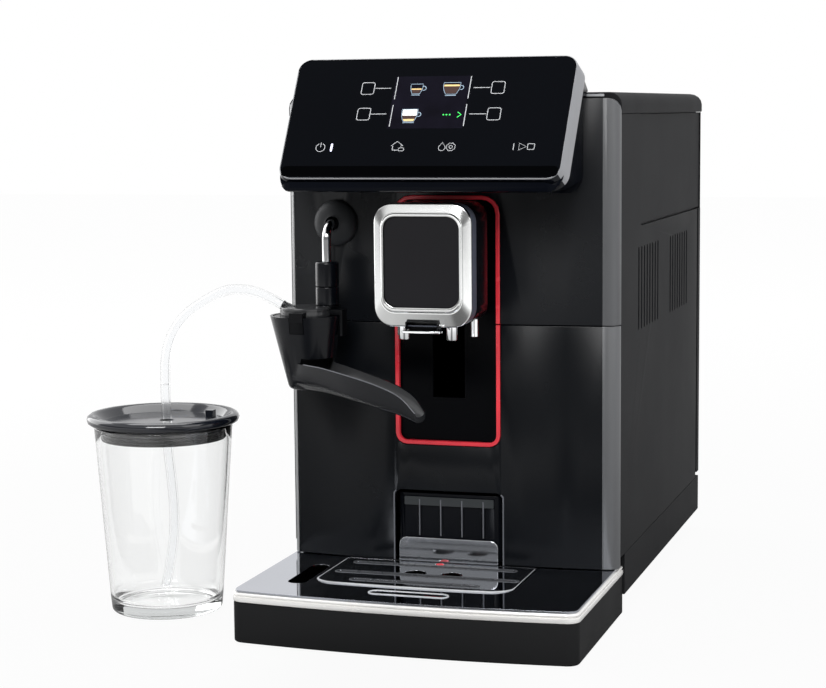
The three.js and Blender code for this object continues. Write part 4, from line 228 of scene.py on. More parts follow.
# The spout's shoulder: its paler blue-grey base is a painted reflection of its satin face.
SHOULDER_SHEEN = finish_of("spout_shoulder_sheen", (0.095, 0.108, 0.142), 0.3, blotch=20, specular=0.4)
SPOUT_BLACK = finish_of("spout_black", (0.003, 0.0035, 0.005), 0.26, blotch=6, specular=0.2)
FACE = finish_of(
    "face_black", (0.0078, 0.0075, 0.0095), 0.5, grain=0.1, grain_scale=2600, specular=0.2)
SKIRT = finish_of(
    "skirt_black", (0.0165, 0.0168, 0.0175), 0.45, shade=0.05, grain=0.15, grain_scale=2200,
    blotch=5, specular=0.03)
DOME = finish_of(
    "dome_black", (0.034, 0.036, 0.039), 0.48, grain=0.1, grain_scale=1800, specular=0.3)
LID_BLACK = finish_of("lid_black", (0.004, 0.0055, 0.01), 0.1, wear=0.02, blotch=8, specular=0.85)
UPSTAND = finish_of(
    "upstand_steel", (0.7, 0.72, 0.75), 0.09, metal=1.0, shade=0.04, wear=0.02, blotch=10)
RED = finish_of("red", (0.8, 0.035, 0.055), 0.24, wear=0.04, blotch=30)
CHROME = finish_of("chrome", (0.88, 0.89, 0.9), 0.05, metal=1.0, shade=0.03, wear=0.02)
SATIN_CHROME = finish_of("satin_chrome", (0.9, 0.91, 0.9), 0.16, metal=1.0, shade=0.02)
MIRROR_STEEL = finish_of(
    "mirror_steel", (0.56, 0.58, 0.63), 0.05, metal=1.0, shade=0.04, wear=0.02, blotch=10)
TRIM_STEEL = finish_of(
    "trim_steel", (0.92, 0.91, 0.89), 0.24, metal=0.3, shade=0.04, wear=0.04, grain=0.06,
    stretch=(1, 1, 20))
SILVER = finish_of("silver_trim", (0.3, 0.305, 0.32), 0.32, metal=0.4, shade=0.05)
RUBBER = finish_of("rubber", (0.018, 0.018, 0.018), 0.75, grain=0.3, grain_scale=900)
PANEL_BLACK = finish_of(
    "panel_black", (0.0013, 0.0018, 0.0032), 0.04, wear=0.012, blotch=4, specular=0.09)
SCREEN = finish_of(
    "screen", (0.0045, 0.004, 0.0085), 0.12, shade=0.3, wear=0.02, blotch=60, specular=0.1)
GREY_INSIDE = finish_of("inside_grey", (0.07, 0.072, 0.078), 0.5, grain=0.2)
CREAM = finish_of("inside_cream", (0.5, 0.48, 0.43), 0.5, grain=0.2, shade=0.06)
SMOKED = clear_of("smoked", (0.32, 0.35, 0.38), 0.08, 1.49)
SMOKED_LID = finish_of(
    "smoked_lid", (0.017, 0.018, 0.021), 0.4, shade=0.06, wear=0.01, specular=0.03)
CLEAR = clear_of("clear_glass", (0.995, 0.998, 0.997), 0.0, 1.5, 14)
HOSE_CLEAR = clear_of("clear_hose", (0.98, 0.985, 0.99), 0.22, 1.14)
WHITE_PRINT = finish_of("white_print", (0.5, 0.51, 0.53), 0.4, shade=0.08, blotch=300)
LIT = glow_of("lit_white", (0.78, 0.78, 1.0), 1.2)
LIT_PALE = glow_of("lit_pale", (0.3, 0.4, 0.5), 0.35)
LIT_GREEN = glow_of("lit_green", (0.05, 0.75, 0.12), 0.7)
LIT_COFFEE = glow_of("lit_coffee", (0.035, 0.011, 0.007), 0.4)
LIT_CREMA = glow_of("lit_crema", (0.72, 0.5, 0.22), 0.5)
LIT_MILK = glow_of("lit_milk", (0.8, 0.8, 0.78), 0.7)


# ---------------- mesh helpers
SAME_PLACE = 2e-6
CREASE, FINE, SHARP, BROAD, JOINED = 38, 30, 25, 40, 32
CORNER_SQUEEZE, SQUEEZE_RANGE = 0.0017, 5


def new_object(name, mesh):
    piece = bpy.data.objects.new(name, mesh)
    bpy.context.scene.collection.objects.link(piece)
    return piece


def shade(mesh, angle=CREASE):
    """Smooth faces, with a crease wherever the surface turns more than angle."""
    work = bmesh.new()
    work.from_mesh(mesh)
    bmesh.ops.recalc_face_normals(work, faces=work.faces)
    limit = radians(angle)
    for face in work.faces:
        face.smooth = True
    for edge in work.edges:
        edge.smooth = len(edge.link_faces) == 2 and edge.calc_face_angle(0) < limit
    work.to_mesh(mesh)
    work.free()


def weld(mesh, distance=SAME_PLACE, flat=None):
    """Joins points that lie together, and faces that turn less than flat."""
    work = bmesh.new()
    work.from_mesh(mesh)
    bmesh.ops.remove_doubles(work, verts=work.verts, dist=distance)
    if flat:
        bmesh.ops.dissolve_limit(
            work, angle_limit=radians(flat), verts=work.verts, edges=work.edges)
    work.to_mesh(mesh)
    work.free()


def from_points(name, points, faces, angle=CREASE):
    """A mesh from points in the machine's frame in millimetres."""
    mesh = bpy.data.meshes.new(name)
    mesh.from_pydata([at(*p) for p in points], [], faces)
    mesh.update()
    shade(mesh, angle)
    return new_object(name, mesh)


def settle(piece):
    """Puts what the modifiers make into the mesh itself."""
    bpy.context.view_layer.update()
    graph = bpy.context.evaluated_depsgraph_get()
    mesh = bpy.data.meshes.new_from_object(piece.evaluated_get(graph))
    piece.modifiers.clear()
    piece.data = mesh
    return piece


def combine(piece, tool, operation):
    change = piece.modifiers.new("boolean", "BOOLEAN")
    change.operation = operation
    change.solver = "EXACT"
    change.object = tool
    settle(piece)
    bpy.data.objects.remove(tool)
    shade(piece.data, JOINED)
    return piece


def soften(piece, width, segments=2, angle=40):
    """Rounds the edges that turn more than angle. Width in millimetres."""
    bevel = piece.modifiers.new("bevel", "BEVEL")
    bevel.width = width / 1000
    bevel.segments = segments
    bevel.limit_method = "ANGLE"
    bevel.angle_limit = radians(angle)
    bevel.harden_normals = True
    bevel.miter_outer = "MITER_ARC"
    return settle(piece)


def dress(piece, material, body, *nodes):
    piece.data.materials.clear()
    piece.data.materials.append(material)
    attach(piece, body)
    if nodes:
        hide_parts(*nodes)
    return piece


def arc(cx, cy, radius, start, end, steps):
    turns = [radians(start + (end - start) * i / steps) for i in range(steps + 1)]
    return [(cx + radius * cos(a), cy + radius * sin(a)) for a in turns]


def circle(cx, cy, radius, sides):
    turns = [2 * pi * i / sides for i in range(sides)]
    return [(cx + radius * cos(a), cy + radius * sin(a)) for a in turns]


def rounded(left, low, right, high, radius, steps=10):
    """Corner points of a rectangle with round corners, counter-clockwise."""
    corners = (
        (right - radius, low + radius, -90), (right - radius, high - radius, 0),
        (left + radius, high - radius, 90), (left + radius, low + radius, 180))
    return [p for x, y, start in corners for p in arc(x, y, radius, start, start + 90, steps)]


def skin(name, rings, angle=CREASE, caps=True):
    """Joins rings of equally many points, first to last, and closes both ends."""
    count = len(rings[0])
    points = [p for ring in rings for p in ring]
    faces = []
    for r in range(len(rings) - 1):
        for i in range(count):
            a, b = r * count + i, r * count + (i + 1) % count
            faces.append((a, b, b + count, a + count))
    if caps:
        faces.append(tuple(range(count - 1, -1, -1)))
        last = (len(rings) - 1) * count
        faces.append(tuple(range(last, last + count)))
    return from_points(name, points, faces, angle)


def upright(places, depth):
    """Points of across and height, all at one depth."""
    return [(x, depth, z) for x, z in places]


def level(places, height):
    """Points of across and depth, all at one height."""
    return [(x, y, height) for x, y in places]


def lathe(name, profile, centre, sides=64, angle=CREASE, closed=False):
    """Turns a profile of radius and height about an upright line. Radius zero closes the end."""
    points, faces, rings = [], [], []
    for radius, z in profile:
        ring = level(circle(*centre, radius, sides), z) if radius else [(*centre, z)]
        rings.append(list(range(len(points), len(points) + len(ring))))
        points += ring
    pairs = list(zip(rings, rings[1:]))
    if closed:
        pairs.append((rings[-1], rings[0]))
    for low, high in pairs:
        for i in range(sides):
            j = (i + 1) % sides
            if len(low) == 1 and len(high) > 1:
                faces.append((low[0], high[i], high[j]))
            elif len(high) == 1 and len(low) > 1:
                faces.append((low[i], low[j], high[0]))
            elif len(low) > 1:
                faces.append((low[i], low[j], high[j], high[i]))
    return from_points(name, points, faces, angle)


def smooth_path(points, per_span=6):
    """Points on one smooth line through the given ones."""
    given = [Vector(p) for p in points]
    padded = [2 * given[0] - given[1], *given, 2 * given[-1] - given[-2]]
    line = []
    for i in range(1, len(padded) - 2):
        p0, p1, p2, p3 = padded[i - 1:i + 3]
        for k in range(per_span):
            t = k / per_span
            line.append(0.5 * (2 * p1 + (p2 - p0) * t + (2 * p0 - 5 * p1 + 4 * p2 - p3) * t * t
                               + (3 * p1 - p0 - 3 * p2 + p3) * t * t * t))
    line.append(given[-1])
    return line


def ring_frames(line):
    """For each point of a line, two directions square to it that don't twist."""
    frames = []
    side = None
    for i, here in enumerate(line):
        ahead = (line[min(i + 1, len(line) - 1)] - line[max(i - 1, 0)]).normalized()
        if side is None:
            side = ahead.orthogonal().normalized()
        side = (side - ahead * side.dot(ahead)).normalized()
        frames.append((here, side, ahead.cross(side)))
    return frames


def pipe(name, line, radii, bore=None, sides=24):
    """A tube along a line; radii is one radius or one for each point. A bore makes it hollow."""
    frames = ring_frames([Vector(p) for p in line])
    if not isinstance(radii, list):
        radii = [radii] * len(line)

    def ring(frame_at, radius):
        here, side, other = frame_at
        return [tuple(here + radius * (cos(a) * side + sin(a) * other))
                for a in (2 * pi * i / sides for i in range(sides))]

    rings = [ring(f, r) for f, r in zip(frames, radii)]
    if bore is None:
        return skin(name, rings)
    return hollow(name, rings + [ring(f, bore) for f in reversed(frames)])


def hollow(name, rings, angle=CREASE):
    """A skin whose last ring meets the first, with nothing open."""
    piece = skin(name, [*rings, rings[0]], angle, caps=False)
    weld(piece.data, 1e-7)
    shade(piece.data, angle)
    return piece


def carried(node, name, material, body, width=0.5, segments=2, foot=None):
    """A CAD node's shape with soft edges, which stands for it. Foot lowers its lowest edge."""
    mesh = NODES[node].data.copy()
    if foot:
        lowest = min(v.co.z for v in mesh.vertices)
        for v in mesh.vertices:
            if v.co.z < lowest + 0.0001:
                v.co.z = foot / 1000
    weld(mesh, flat=1.0)
    shade(mesh, BROAD)
    piece = new_object(name, mesh)
    soften(piece, width, segments)
    return dress(piece, material, body, node)


def front_ring(half, low, high, radius, depth, steps=12):
    """A rounded outline that faces the front."""
    return upright(rounded(-half, low, half, high, radius, steps), depth)


def with_flank_reflections(piece, left=-104.4, right=99.9):
    """Gives a front cover's round corners lighter greys as a painted reflection, and draws the left
    one in a little.
    """
    work = bmesh.new()
    work.from_mesh(piece.data)
    for x in (left, right):
        parts = [*work.verts, *work.edges, *work.faces]
        bmesh.ops.bisect_plane(work, geom=parts, plane_co=at(x, 0, 0), plane_no=(1, 0, 0))
    work.to_mesh(piece.data)
    work.free()
    shade(piece.data, FINE)
    piece.data.materials.append(FLANK_REFLECTION)
    piece.data.materials.append(PALE_FLANK_REFLECTION)
    # Faces on the round corners get the painted reflection greys.
    for face in piece.data.polygons:
        x = (face.center - at(0, 0, 0)).x * 1000
        side = 1 if x > right else 2 if x < left else 0
        face.material_index = side if face.normal.y < 0.5 else 0
    middle = at(0, 0, 0).x
    for v in piece.data.vertices:
        x = (v.co.x - middle) * 1000
        if x < left:
            v.co.x += CORNER_SQUEEZE * min(1, (left - x) / SQUEEZE_RANGE)


# ---------------- milk hose
HOSE_Y = 80
HOSE_RADIUS, HOSE_BORE = 3.2, 2.0
HOSE_ARCH = [
    (-101.6, 202), (-109, 205.7), (-117, 209), (-124, 210.7), (-130, 211.2), (-137, 211.1),
    (-143, 209.6), (-149.4, 206.8), (-158.5, 201.6), (-167, 195.8),
    (-174, 188.6), (-179.3, 180.2), (-182.6, 171), (-184.2, 161), (-184.5, 148.3),
]
HOSE_FALL = [
    (-184.5, 148), (-184.3, 136), (-184.1, 122), (-183.6, 106), (-181.8, 88), (-180.4, 70),
    (-180.6, 52), (-183, 34), (-187.2, 14),
]


def make_hose(name, route, node, start, end):
    """A stretch of hose along its route, in place of its node. Its start and end are worked out but
    not used.
    """
    line = smooth_path(upright(route, HOSE_Y), 5)
    piece = pipe(name, line, HOSE_RADIUS, HOSE_BORE, 20)
    piece.data.materials.append(HOSE_CLEAR)
    start, end = (at(x, HOSE_Y, z) for x, z in (start, end))
    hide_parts(node)
    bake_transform(piece)


make_camera()
make_hose(
    "milk_hose_arch", HOSE_ARCH, "milk_hose_upper", (-101.6, 202),
    (-184.5, 160))
make_hose(
    "milk_hose_fall", HOSE_FALL, "milk_hose_lower", (-184.5, 148),
    (-184.1, 112))


# ---------------- housing
carried("base_pan", "base_shell", MATT, "machine")
for hand in ("left", "right"):
    for end in ("front", "rear"):
        carried(f"foot_{end}_{hand}", f"rubber_foot_{end}_{hand}", RUBBER, "machine")
carried("left_panel", "side_skin_left", MATT, "machine", 0.9, 3)
carried("service_door", "side_skin_right", MATT, "door", 0.6, 3)
carried("upper_side_left", "side_strip_left", MATT, "machine")
carried("upper_side_right", "side_strip_right", MATT, "machine")
carried("rear_panel", "rear_skin", MATT, "machine")
carried("top_cover", "top_skin", MATT, "machine", 0.7, 3)
# The upper fascia takes the lighter copy of the fascia black, which is painted light.
with_flank_reflections(carried("upper_fascia", "front_skin_upper", FASCIA_LIT, "machine", 0.5, 3))
with_flank_reflections(carried("lower_fascia", "front_skin_lower", FASCIA, "machine", 0.5, 3, foot=34.5))
carried("red_trim_upper", "red_line_upper", RED, "machine", 0.5, 3)
carried("red_trim_lower", "red_line_lower", RED, "machine", 0.5, 3)
carried("spout_guide", "recess_back", RECESS, "machine", 0.4)
carried("bean_hopper", "hopper_shell", SMOKED, "machine", 0.4)
carried("hopper_lid", "hopper_cover_skin", SMOKED_LID, "hopper_cover", 0.4, 3)
carried("tank_lid", "tank_cover_skin", MATT, "tank_cover", 0.4, 3)
carried("preground_lid", "chute_cover_skin", MATT, "preground_cover", 0.4, 3)
carried("preground_chute", "chute_shell", SATIN, "machine", 0.4)
carried("grind_knob", "knob_grip", SATIN, "knob", 0.3)
carried("water_tank", "tank_shell", SMOKED, "tank")
carried("mains_inlet", "inlet_shell", SATIN, "machine", 0.4)
carried("rocker_switch", "rocker_key", GLOSS, "rocker", 0.4)
carried("grounds_container", "grounds_bin", BIN_BLACK, "tray")


def make_window_lines():
    """The bin's raised band and thin ribs, and the edges of the window in front of it. Ribs and
    edges are pale grey as painted highlights.
    """
    band = [front_ring(29.8, 70.9, 76.4, 0.6, depth) for depth in (107.3, 106.9)]
    dress(skin("bin_band", band, FINE), BIN_GREY, "tray")
    for index, x in enumerate((-19.7, -5.5, 8.7, 22.9)):
        line = [(x, 107.0, z) for z in (51.2, 58, 65, 72, 74.8)]
        dress(pipe(f"bin_rib_{index + 1}", line, 0.42, sides=12), FINE_HIGHLIGHT, "tray")
    for hand, side in (("left", -1), ("right", 1)):
        line = [(36.5, 34.6), (36.5, 50), (36.5, 65), (36.5, 77.2), (36.1, 79), (35.0, 80.2)]
        edge = smooth_path([(side * x, 105.75, z) for x, z in line], 4)
        dress(pipe(f"window_edge_{hand}", edge, 0.5, sides=14), FINE_HIGHLIGHT, "machine")


make_window_lines()
# A pale strip along the top cover's front edge: a painted highlight.
top_edge_highlight = rounded(-96, 332.2, 99, 333.7, 0.6, 4)
dress(skin("top_edge_highlight", [upright(top_edge_highlight, depth) for depth in (119.2, 118.3)], FINE),
      EDGE_HIGHLIGHT, "machine")
for node, material in {
        "chassis": GREY_INSIDE, "inner_walls": GREY_INSIDE, "grinder": GREY_INSIDE,
        "grinder_burr": SATIN_CHROME, "brew_group": CREAM, "brew_piston": GREY_INSIDE,
        "brew_gear": CREAM, "panel_display": SATIN}.items():
    NODES[node].data.materials.clear()
    NODES[node].data.materials.append(material)


# ---------------- control panel
GLASS_FOOT = (39.5, 283.1)
GLASS_SLOPE = radians(56.8)
PANEL_LONG = 87.3
PANEL_FLARE = 0.015
SHELL_REAR, SHELL_FRONT = 0.957, 0.976
PRINT_FOOT = 0.02


def on_panel(x, up, out):
    """A point on the panel's glass: across, up its slope and out of its face."""
    return (x, GLASS_FOOT[0] + up * cos(GLASS_SLOPE) - out * sin(GLASS_SLOPE),
            GLASS_FOOT[1] + up * sin(GLASS_SLOPE) + out * cos(GLASS_SLOPE))


def panel_ring(half, low, high, radius, out):
    """A rounded outline on the panel, a little wider at its top than at its foot."""
    return [on_panel(x * (1 + PANEL_FLARE * up / PANEL_LONG), up, out)
            for x, up in rounded(-half, low, half, high, radius, 10)]


def make_bezel():
    """The black rim round the glass. Its front edge is silver, and so are its flared sides."""
    piece = hollow("panel_bezel", [panel_ring(*row) for row in (
        (88.0, 1.4, 87.7, 8.1, 0.0), (88.4, 1.0, 88.1, 8.5, 0.0), (88.7, 0.6, 88.3, 8.8, -0.5),
        (91.4, -1.0, 88.5, 11.0, -11.5), (90.9, -0.8, 88.2, 10.5, -12.0),
        (86.0, 4.0, 84.0, 8.0, -12.0), (86.0, 4.0, 84.0, 8.0, -3.4),
        (88.0, 1.4, 87.7, 8.1, -3.4))], FINE)
    dress(piece, GLOSS, "machine", "panel_frame")
    piece.data.materials.append(SILVER)
    foot = at(0, *GLASS_FOOT)
    for face in piece.data.polygons:
        x, depth, height = (face.center - foot) * 1000
        up = depth * cos(GLASS_SLOPE) + height * sin(GLASS_SLOPE)
        out = height * cos(GLASS_SLOPE) - depth * sin(GLASS_SLOPE)
        edge = out > -0.4 and (up < 80 or x > 0)
        flank = abs(face.normal.x) > 0.5 and abs(x) > 88.5 and -11.8 < out < -0.4
        face.material_index = 1 if edge or flank else 0


def make_panel_shell():
    """The housing behind the bezel, narrowed to fit it, with round corners in plan and below."""
    mesh = NODES["panel_housing"].data.copy()
    middle = at(0, 0, 0)
    for v in mesh.vertices:
        share = SHELL_REAR if v.co.y - middle.y > 0.1 else SHELL_FRONT
        v.co.x = middle.x + (v.co.x - middle.x) * share
    weld(mesh)
    shell = new_object("panel_shell", mesh)
    plan = rounded(-91.8, 38.0, 91.8, 190, 16)
    combine(shell, skin("plan", [level(plan, z) for z in (200, 400)]), "INTERSECT")
    corner = [(100, 265), (76.6, 265), *arc(77.6, 287, 12, -90, 0, 10), (100, 287)]
    for side in (-1, 1):
        wedge = skin("wedge", [upright([(side * x, z) for x, z in corner], y) for y in (20, 96)])
        combine(shell, wedge, "DIFFERENCE")
    soften(shell, 0.9, 3, 35)
    dress(shell, SHELL_BLACK, "machine", "panel_housing")


def make_glass():
    rings = [panel_ring(*row) for row in (
        (87.5, 2.0, 87.2, 7.6, -3.0), (87.7, 1.8, 87.4, 7.8, -2.8),
        (87.7, 1.8, 87.4, 7.8, -0.35), (87.4, 2.1, 87.1, 7.5, 0.0))]
    dress(skin("panel_face", rings, SHARP), PANEL_BLACK, "machine", "panel_glass")


def stroke(points, width, closed=False, out=0.12):
    """A thin raised line on the glass, through points of across and up."""
    count = len(points)
    rings = []
    for i, (x, up) in enumerate(points):
        before = points[i - 1] if closed or i > 0 else points[i]
        after = points[(i + 1) % count] if closed or i + 1 < count else points[i]
        along = Vector((after[0] - before[0], after[1] - before[1])).normalized()
        side = Vector((-along.y, along.x)) * width / 2
        corners = ((-1, PRINT_FOOT), (1, PRINT_FOOT), (0.8, out), (-0.8, out))
        rings.append([
            on_panel(x + side.x * share, up + side.y * share, height) for share, height in corners])
    return rings, closed


def filled(points, out=0.1):
    """A thin raised shape on the glass."""
    return [[on_panel(x, up, height) for x, up in points] for height in (PRINT_FOOT, out)], False


def printed(name, parts, material):
    """Joins strokes and shapes on the glass into one piece."""
    work = bmesh.new()
    for rings, closed in parts:
        rows = [[work.verts.new(at(*p)) for p in ring] for ring in rings]
        count = len(rows[0])
        spans = list(zip(rows, rows[1:])) + ([(rows[-1], rows[0])] if closed else [])
        for low, high in spans:
            for i in range(count):
                j = (i + 1) % count
                work.faces.new((low[i], low[j], high[j], high[i]))
        if not closed:
            work.faces.new(rows[0][::-1])
            work.faces.new(rows[-1])
    mesh = bpy.data.meshes.new(name)
    work.to_mesh(mesh)
    work.free()
    shade(mesh, 20)
    return dress(new_object(name, mesh), material, "machine")


def make_symbols():
    """Generic marks: four touch fields, then power, home, water, settings, start and stop."""
    marks = [(-41, 65.9), (-40.7, 47.1), (42.4, 65.5), (42.4, 46.5)]
    lines = [stroke(rounded(x - 4.1, up - 4.3, x + 4.1, up + 4.3, 1.3, 4), 0.5, True)
             for x, up in marks]
    lines += [stroke([(-36.2, up), (-26, up)], 0.5) for up in (65.9, 47.1)]
    lines += [stroke([(27, up), (37.6, up)], 0.5) for up in (65.6, 46.6)]
    house = [(-18, 21), (-18, 24), (-19.2, 24), (-15.4, 27.2), (-11.6, 24), (-12.8, 24),
             (-12.8, 23.2)]
    drop = [(13.2, 26.3), (15.2, 23.4), *arc(13.2, 22.6, 2.1, 10, -190, 9), (11.2, 23.4)]
    cog = [(18.8 + r * cos(a), 23.2 + r * sin(a)) for a, r in (
        (radians(15 * k), 2.9 if k % 3 else 2.4) for k in range(24))]
    lines += [stroke(*row) for row in (
        (arc(-64.5, 23, 2.9, 115, 425, 18), 0.45), ([(-64.5, 23.4), (-64.5, 26.6)], 0.45),
        (house, 0.45), ([(-18, 21), (-14.6, 21)], 0.45),
        (rounded(-14.2, 20.4, -10.6, 22.6, 1.0, 3), 0.4, True), (drop, 0.4, True),
        (arc(18.8, 23.2, 1.1, 0, 345, 11), 0.4, True), (cog, 0.4, True),
        ([(57.8, 20.8), (57.8, 25.4)], 0.5),
        ([(61.2, 20.8), (61.2, 25.6), (65.6, 23.2)], 0.45, True),
        (rounded(66.4, 21.2, 70.6, 25.2, 0.6, 2), 0.45, True))]
    printed("panel_symbols", lines, WHITE_PRINT)
    for name, outline, out, material in (
            ("panel_foot_band", (-87.2, 2.4, 87.2, 9.8, 3.0, 6), 0.05, PANEL_FOOT),
            ("panel_power_light", (-57.9, 20.2, -56.7, 25.8, 0.5, 3), 0.14, LIT),
            ("panel_screen", (-24, 36.4, 24, 74.4, 0.4, 2), 0.05, SCREEN)):
        printed(name, [filled(rounded(*outline), out)], material)
    bars = [stroke([(x, low), (x, high)], 0.6)
            for x in (-22.6, 24.4) for low, high in ((57.8, 74), (37.9, 53.6))]
    printed("screen_links", bars, WHITE_PRINT)
    arrow = stroke([(19.4, 48.2), (21.8, 46.2), (19.4, 44.2)], 0.6)
    dots = [filled(arc(x, 46.2, 0.5, 0, 330, 11)) for x in (10.6, 12.6, 14.6)]
    printed("screen_next", [arrow, *dots], LIT_GREEN)


def cup_shape(x, up, half, tall, foot, low=0.0, high=1.0):
    """A cup's outline or a band of it, as shares of its height."""
    def reach(share):
        return foot + (half - foot) * sin(min(1.0, share * 1.35) * pi / 2)

    shares = [low + (high - low) * i / 8 for i in range(9)]
    right = [(x + reach(t), up + tall * t) for t in shares]
    left = [(x - reach(t), up + tall * t) for t in reversed(shares)]
    return right + left


def make_screen_cups():
    """Three little drawings of drinks on the screen."""
    cups = [(-9.4, 61.6, 3.4, 6.4, 2.0, 0.46, 0.6), (13.0, 61.0, 4.9, 7.8, 2.8, 0.74, 0.9),
            (-11.0, 41.6, 4.6, 8.0, 3.0, 0.35, 0.52)]
    lines = []
    for x, up, half, tall, foot in (cup[:5] for cup in cups):
        outline = cup_shape(x, up, half + 0.5, tall + 0.7, foot + 0.5)
        handle = arc(x + half + 1.2, up + tall * 0.62, 1.5, -110, 110, 8)
        saucer = [(x - foot - 0.6, up - 0.9), (x + foot + 0.6, up - 0.9)]
        lines.append(stroke(outline, 0.35, True, 0.13))
        lines += [stroke(handle, 0.5, out=0.13), stroke(saucer, 0.5, out=0.13)]
    coffee = [(cup, 0.06, cup[5]) for cup in cups[:2]] + [(cups[2], cups[2][5] * 0.6, cups[2][6])]
    crema = [(cup, cup[5], cup[6]) for cup in cups[:2]] + [(cups[2], 0.02, cups[2][5] * 0.6)]
    milk = [(cups[2], cups[2][6], 1.06)]
    printed("screen_cups", lines, LIT_PALE)
    for name, bands, material in (
            ("screen_coffee", coffee, LIT_COFFEE), ("screen_crema", crema, LIT_CREMA),
            ("screen_milk", milk, LIT_MILK)):
        printed(name, [filled(cup_shape(*cup[:5], low, high), 0.11) for cup, low, high in bands],
                material)


make_bezel()
make_panel_shell()
make_glass()
make_symbols()
make_screen_cups()

# ---------------- drip tray
TRAY_HALF, TRAY_BOW, TRAY_BACK, TRAY_RADIUS = 108.6, 6.4, 131.7, 8.0
SLOT_HALF = 1.75


def tray_path(inset):
    """The tray's edge in plan from its left rear corner round the front to the right rear."""
    half, radius = TRAY_HALF - inset, TRAY_RADIUS - inset
    inner = half - radius

    def edge(x):
        return inset - TRAY_BOW * (1 - (x / half) ** 2)

    corner = arc(inner, edge(inner) + radius, radius, -90, 0, 10)[1:]
    front = [(inner * (2 * i / 32 - 1), edge(inner * (2 * i / 32 - 1))) for i in range(33)]
    left = [(-x, y) for x, y in reversed(corner)]
    return [(-half, TRAY_BACK)] + left + front + corner + [(half, TRAY_BACK)]


def swept(name, profile):
    """A band along the tray's edge from a profile of inset and height."""
    rows = [level(tray_path(inset), height) for inset, height in profile]
    return skin(name, list(zip(*rows)), FINE)


dress(swept("tray_front", [
    (3.0, 1.4), (1.4, 1.4), (0.7, 1.6), (0.2, 2.1), (0.0, 2.8), (0.0, 26.0), (0.2, 26.5),
    (0.7, 26.7), (3.0, 26.7)]), SKIRT, "tray", "tray_skirt")
dress(swept("tray_band", [
    (3.0, 27.0), (0.1, 27.0), (-0.25, 27.3), (-0.4, 27.8), (-0.4, 29.6), (-0.25, 30.1),
    (0.2, 30.3), (0.5, 30.4), (0.5, 30.9), (0.1, 31.0), (-0.15, 31.3), (-0.15, 31.8),
    (0.1, 32.3), (0.7, 32.6), (3.0, 32.6)]), TRIM_STEEL, "tray", "tray_trim")
carried("tray_basin", "tray_bowl", SATIN, "tray", 0.4)
carried("tray_plate", "tray_top", MIRROR_STEEL, "tray", 0.45, 3)
carried("tray_upstand", "tray_splash", UPSTAND, "tray", 0.45, 3)
carried("drip_grille", "grille_top", MIRROR_STEEL, "grille", 0.45, 3)
carried("tray_float", "float_pin", RED, "float", 0.4)


def make_slot_lips():
    """The turned down edges of the grille's three slots, placed by shares of the grille."""
    left, right, front, back = -69.0, 59.0, 32.0, 104.4
    shares = ((0.078, 0.906, 0.856), (0.055, 0.969, 0.483), (0.18, 0.8125, 0.214))
    for index, (start, end, behind) in enumerate(shares):
        low_x, high_x = (left + (right - left) * share for share in (start, end))
        y = front + (back - front) * behind
        rings = []
        for grow, z in ((0.0, 33.9), (0.0, 31.9), (0.45, 31.9), (0.45, 32.8), (0.9, 33.95),
                        (1.9, 34.0), (1.7, 34.25), (1.1, 34.2)):
            half = SLOT_HALF + grow
            rings.append(level(
                rounded(low_x - grow, y - half, high_x + grow, y + half, half, 6), z))
        # The grey of the slot edges is a painted reflection.
        dress(hollow(f"slot_lip_{index + 1}", rings, SHARP), SLOT_SHEEN, "grille")


def make_finger_slot():
    lip = level(rounded(-25.0, 13.5, 25.0, 22.5, 4.5, 8), 34.05)
    # The pale ring round the finger slot is a painted highlight.
    dress(pipe("finger_slot_lip", [*lip, lip[0]], 0.5, sides=14), EDGE_HIGHLIGHT, "tray")
    floor = rounded(-24.6, 13.9, 24.6, 22.1, 4.1, 8)
    dress(skin("finger_slot_floor", [level(floor, z) for z in (30.6, 31.4)], FINE),
          CAP_BLACK, "tray")


def make_grille_bead():
    """The bead round the grille's front, pale as a painted highlight, which thins out towards the
    back.
    """
    line = smooth_path(level([
        (-68, 102), (-68, 75), (-68, 49), (-67, 43.3), (-64.2, 39), (-59.8, 35.9), (-54.4, 34.5),
        (-30, 33.3), (-5, 32.9), (20, 33.3), (44.4, 34.5), (49.8, 35.9), (54.2, 39), (57, 43.3),
        (58, 49), (58, 75), (58, 102)], 33.95), 5)
    radii = [0.95 - 0.7 * min(1, max(0, (p.y - 36) / 16)) for p in line]
    dress(pipe("grille_bead", line, radii, sides=16), EDGE_HIGHLIGHT, "grille")


make_slot_lips()
make_finger_slot()
make_grille_bead()

# ---------------- steam pipe and frother
PIVOT = (-74.3, 103.5, 253.0)
PIPE_Y = 88.5
CUP = (-85.5, 78.0)
RIM, CUP_DEPTH = 196.0, 46.5
CUP_TOP, CUP_FOOT, CUP_WALL, CUP_SIDES = 22.6, 13.5, 1.8, 72
FOOT_ROUND = 0.06
ARM_REACH, ARM_FORWARD = 89, 48.5
DOME_RADIUS, BALL_RADIUS, PIPE_RADIUS, SLEEVE_RADIUS = 14.6, 4.2, 2.9, 7.5


def turned_to_front(name, profile, closed=True):
    """A turned piece about the line through the pipe's pivot, from radius and depth."""
    rings = [upright(circle(PIVOT[0], PIVOT[2], radius, 56), depth) for radius, depth in profile]
    return hollow(name, rings, BROAD) if closed else skin(name, rings, BROAD)


def make_dome():
    profile = [(DOME_RADIUS, 109.2), (DOME_RADIUS, 106.9)]
    profile += [(DOME_RADIUS * cos(a), 106.9 - 8.0 * sin(a))
                for a in (radians(7 * i) for i in range(1, 11))]
    profile += [(4.8, 99.2), (4.5, 99.5), (4.5, 101.6), (8.6, 109.2)]
    dress(turned_to_front("pipe_dome", profile), DOME, "machine", "steam_socket")


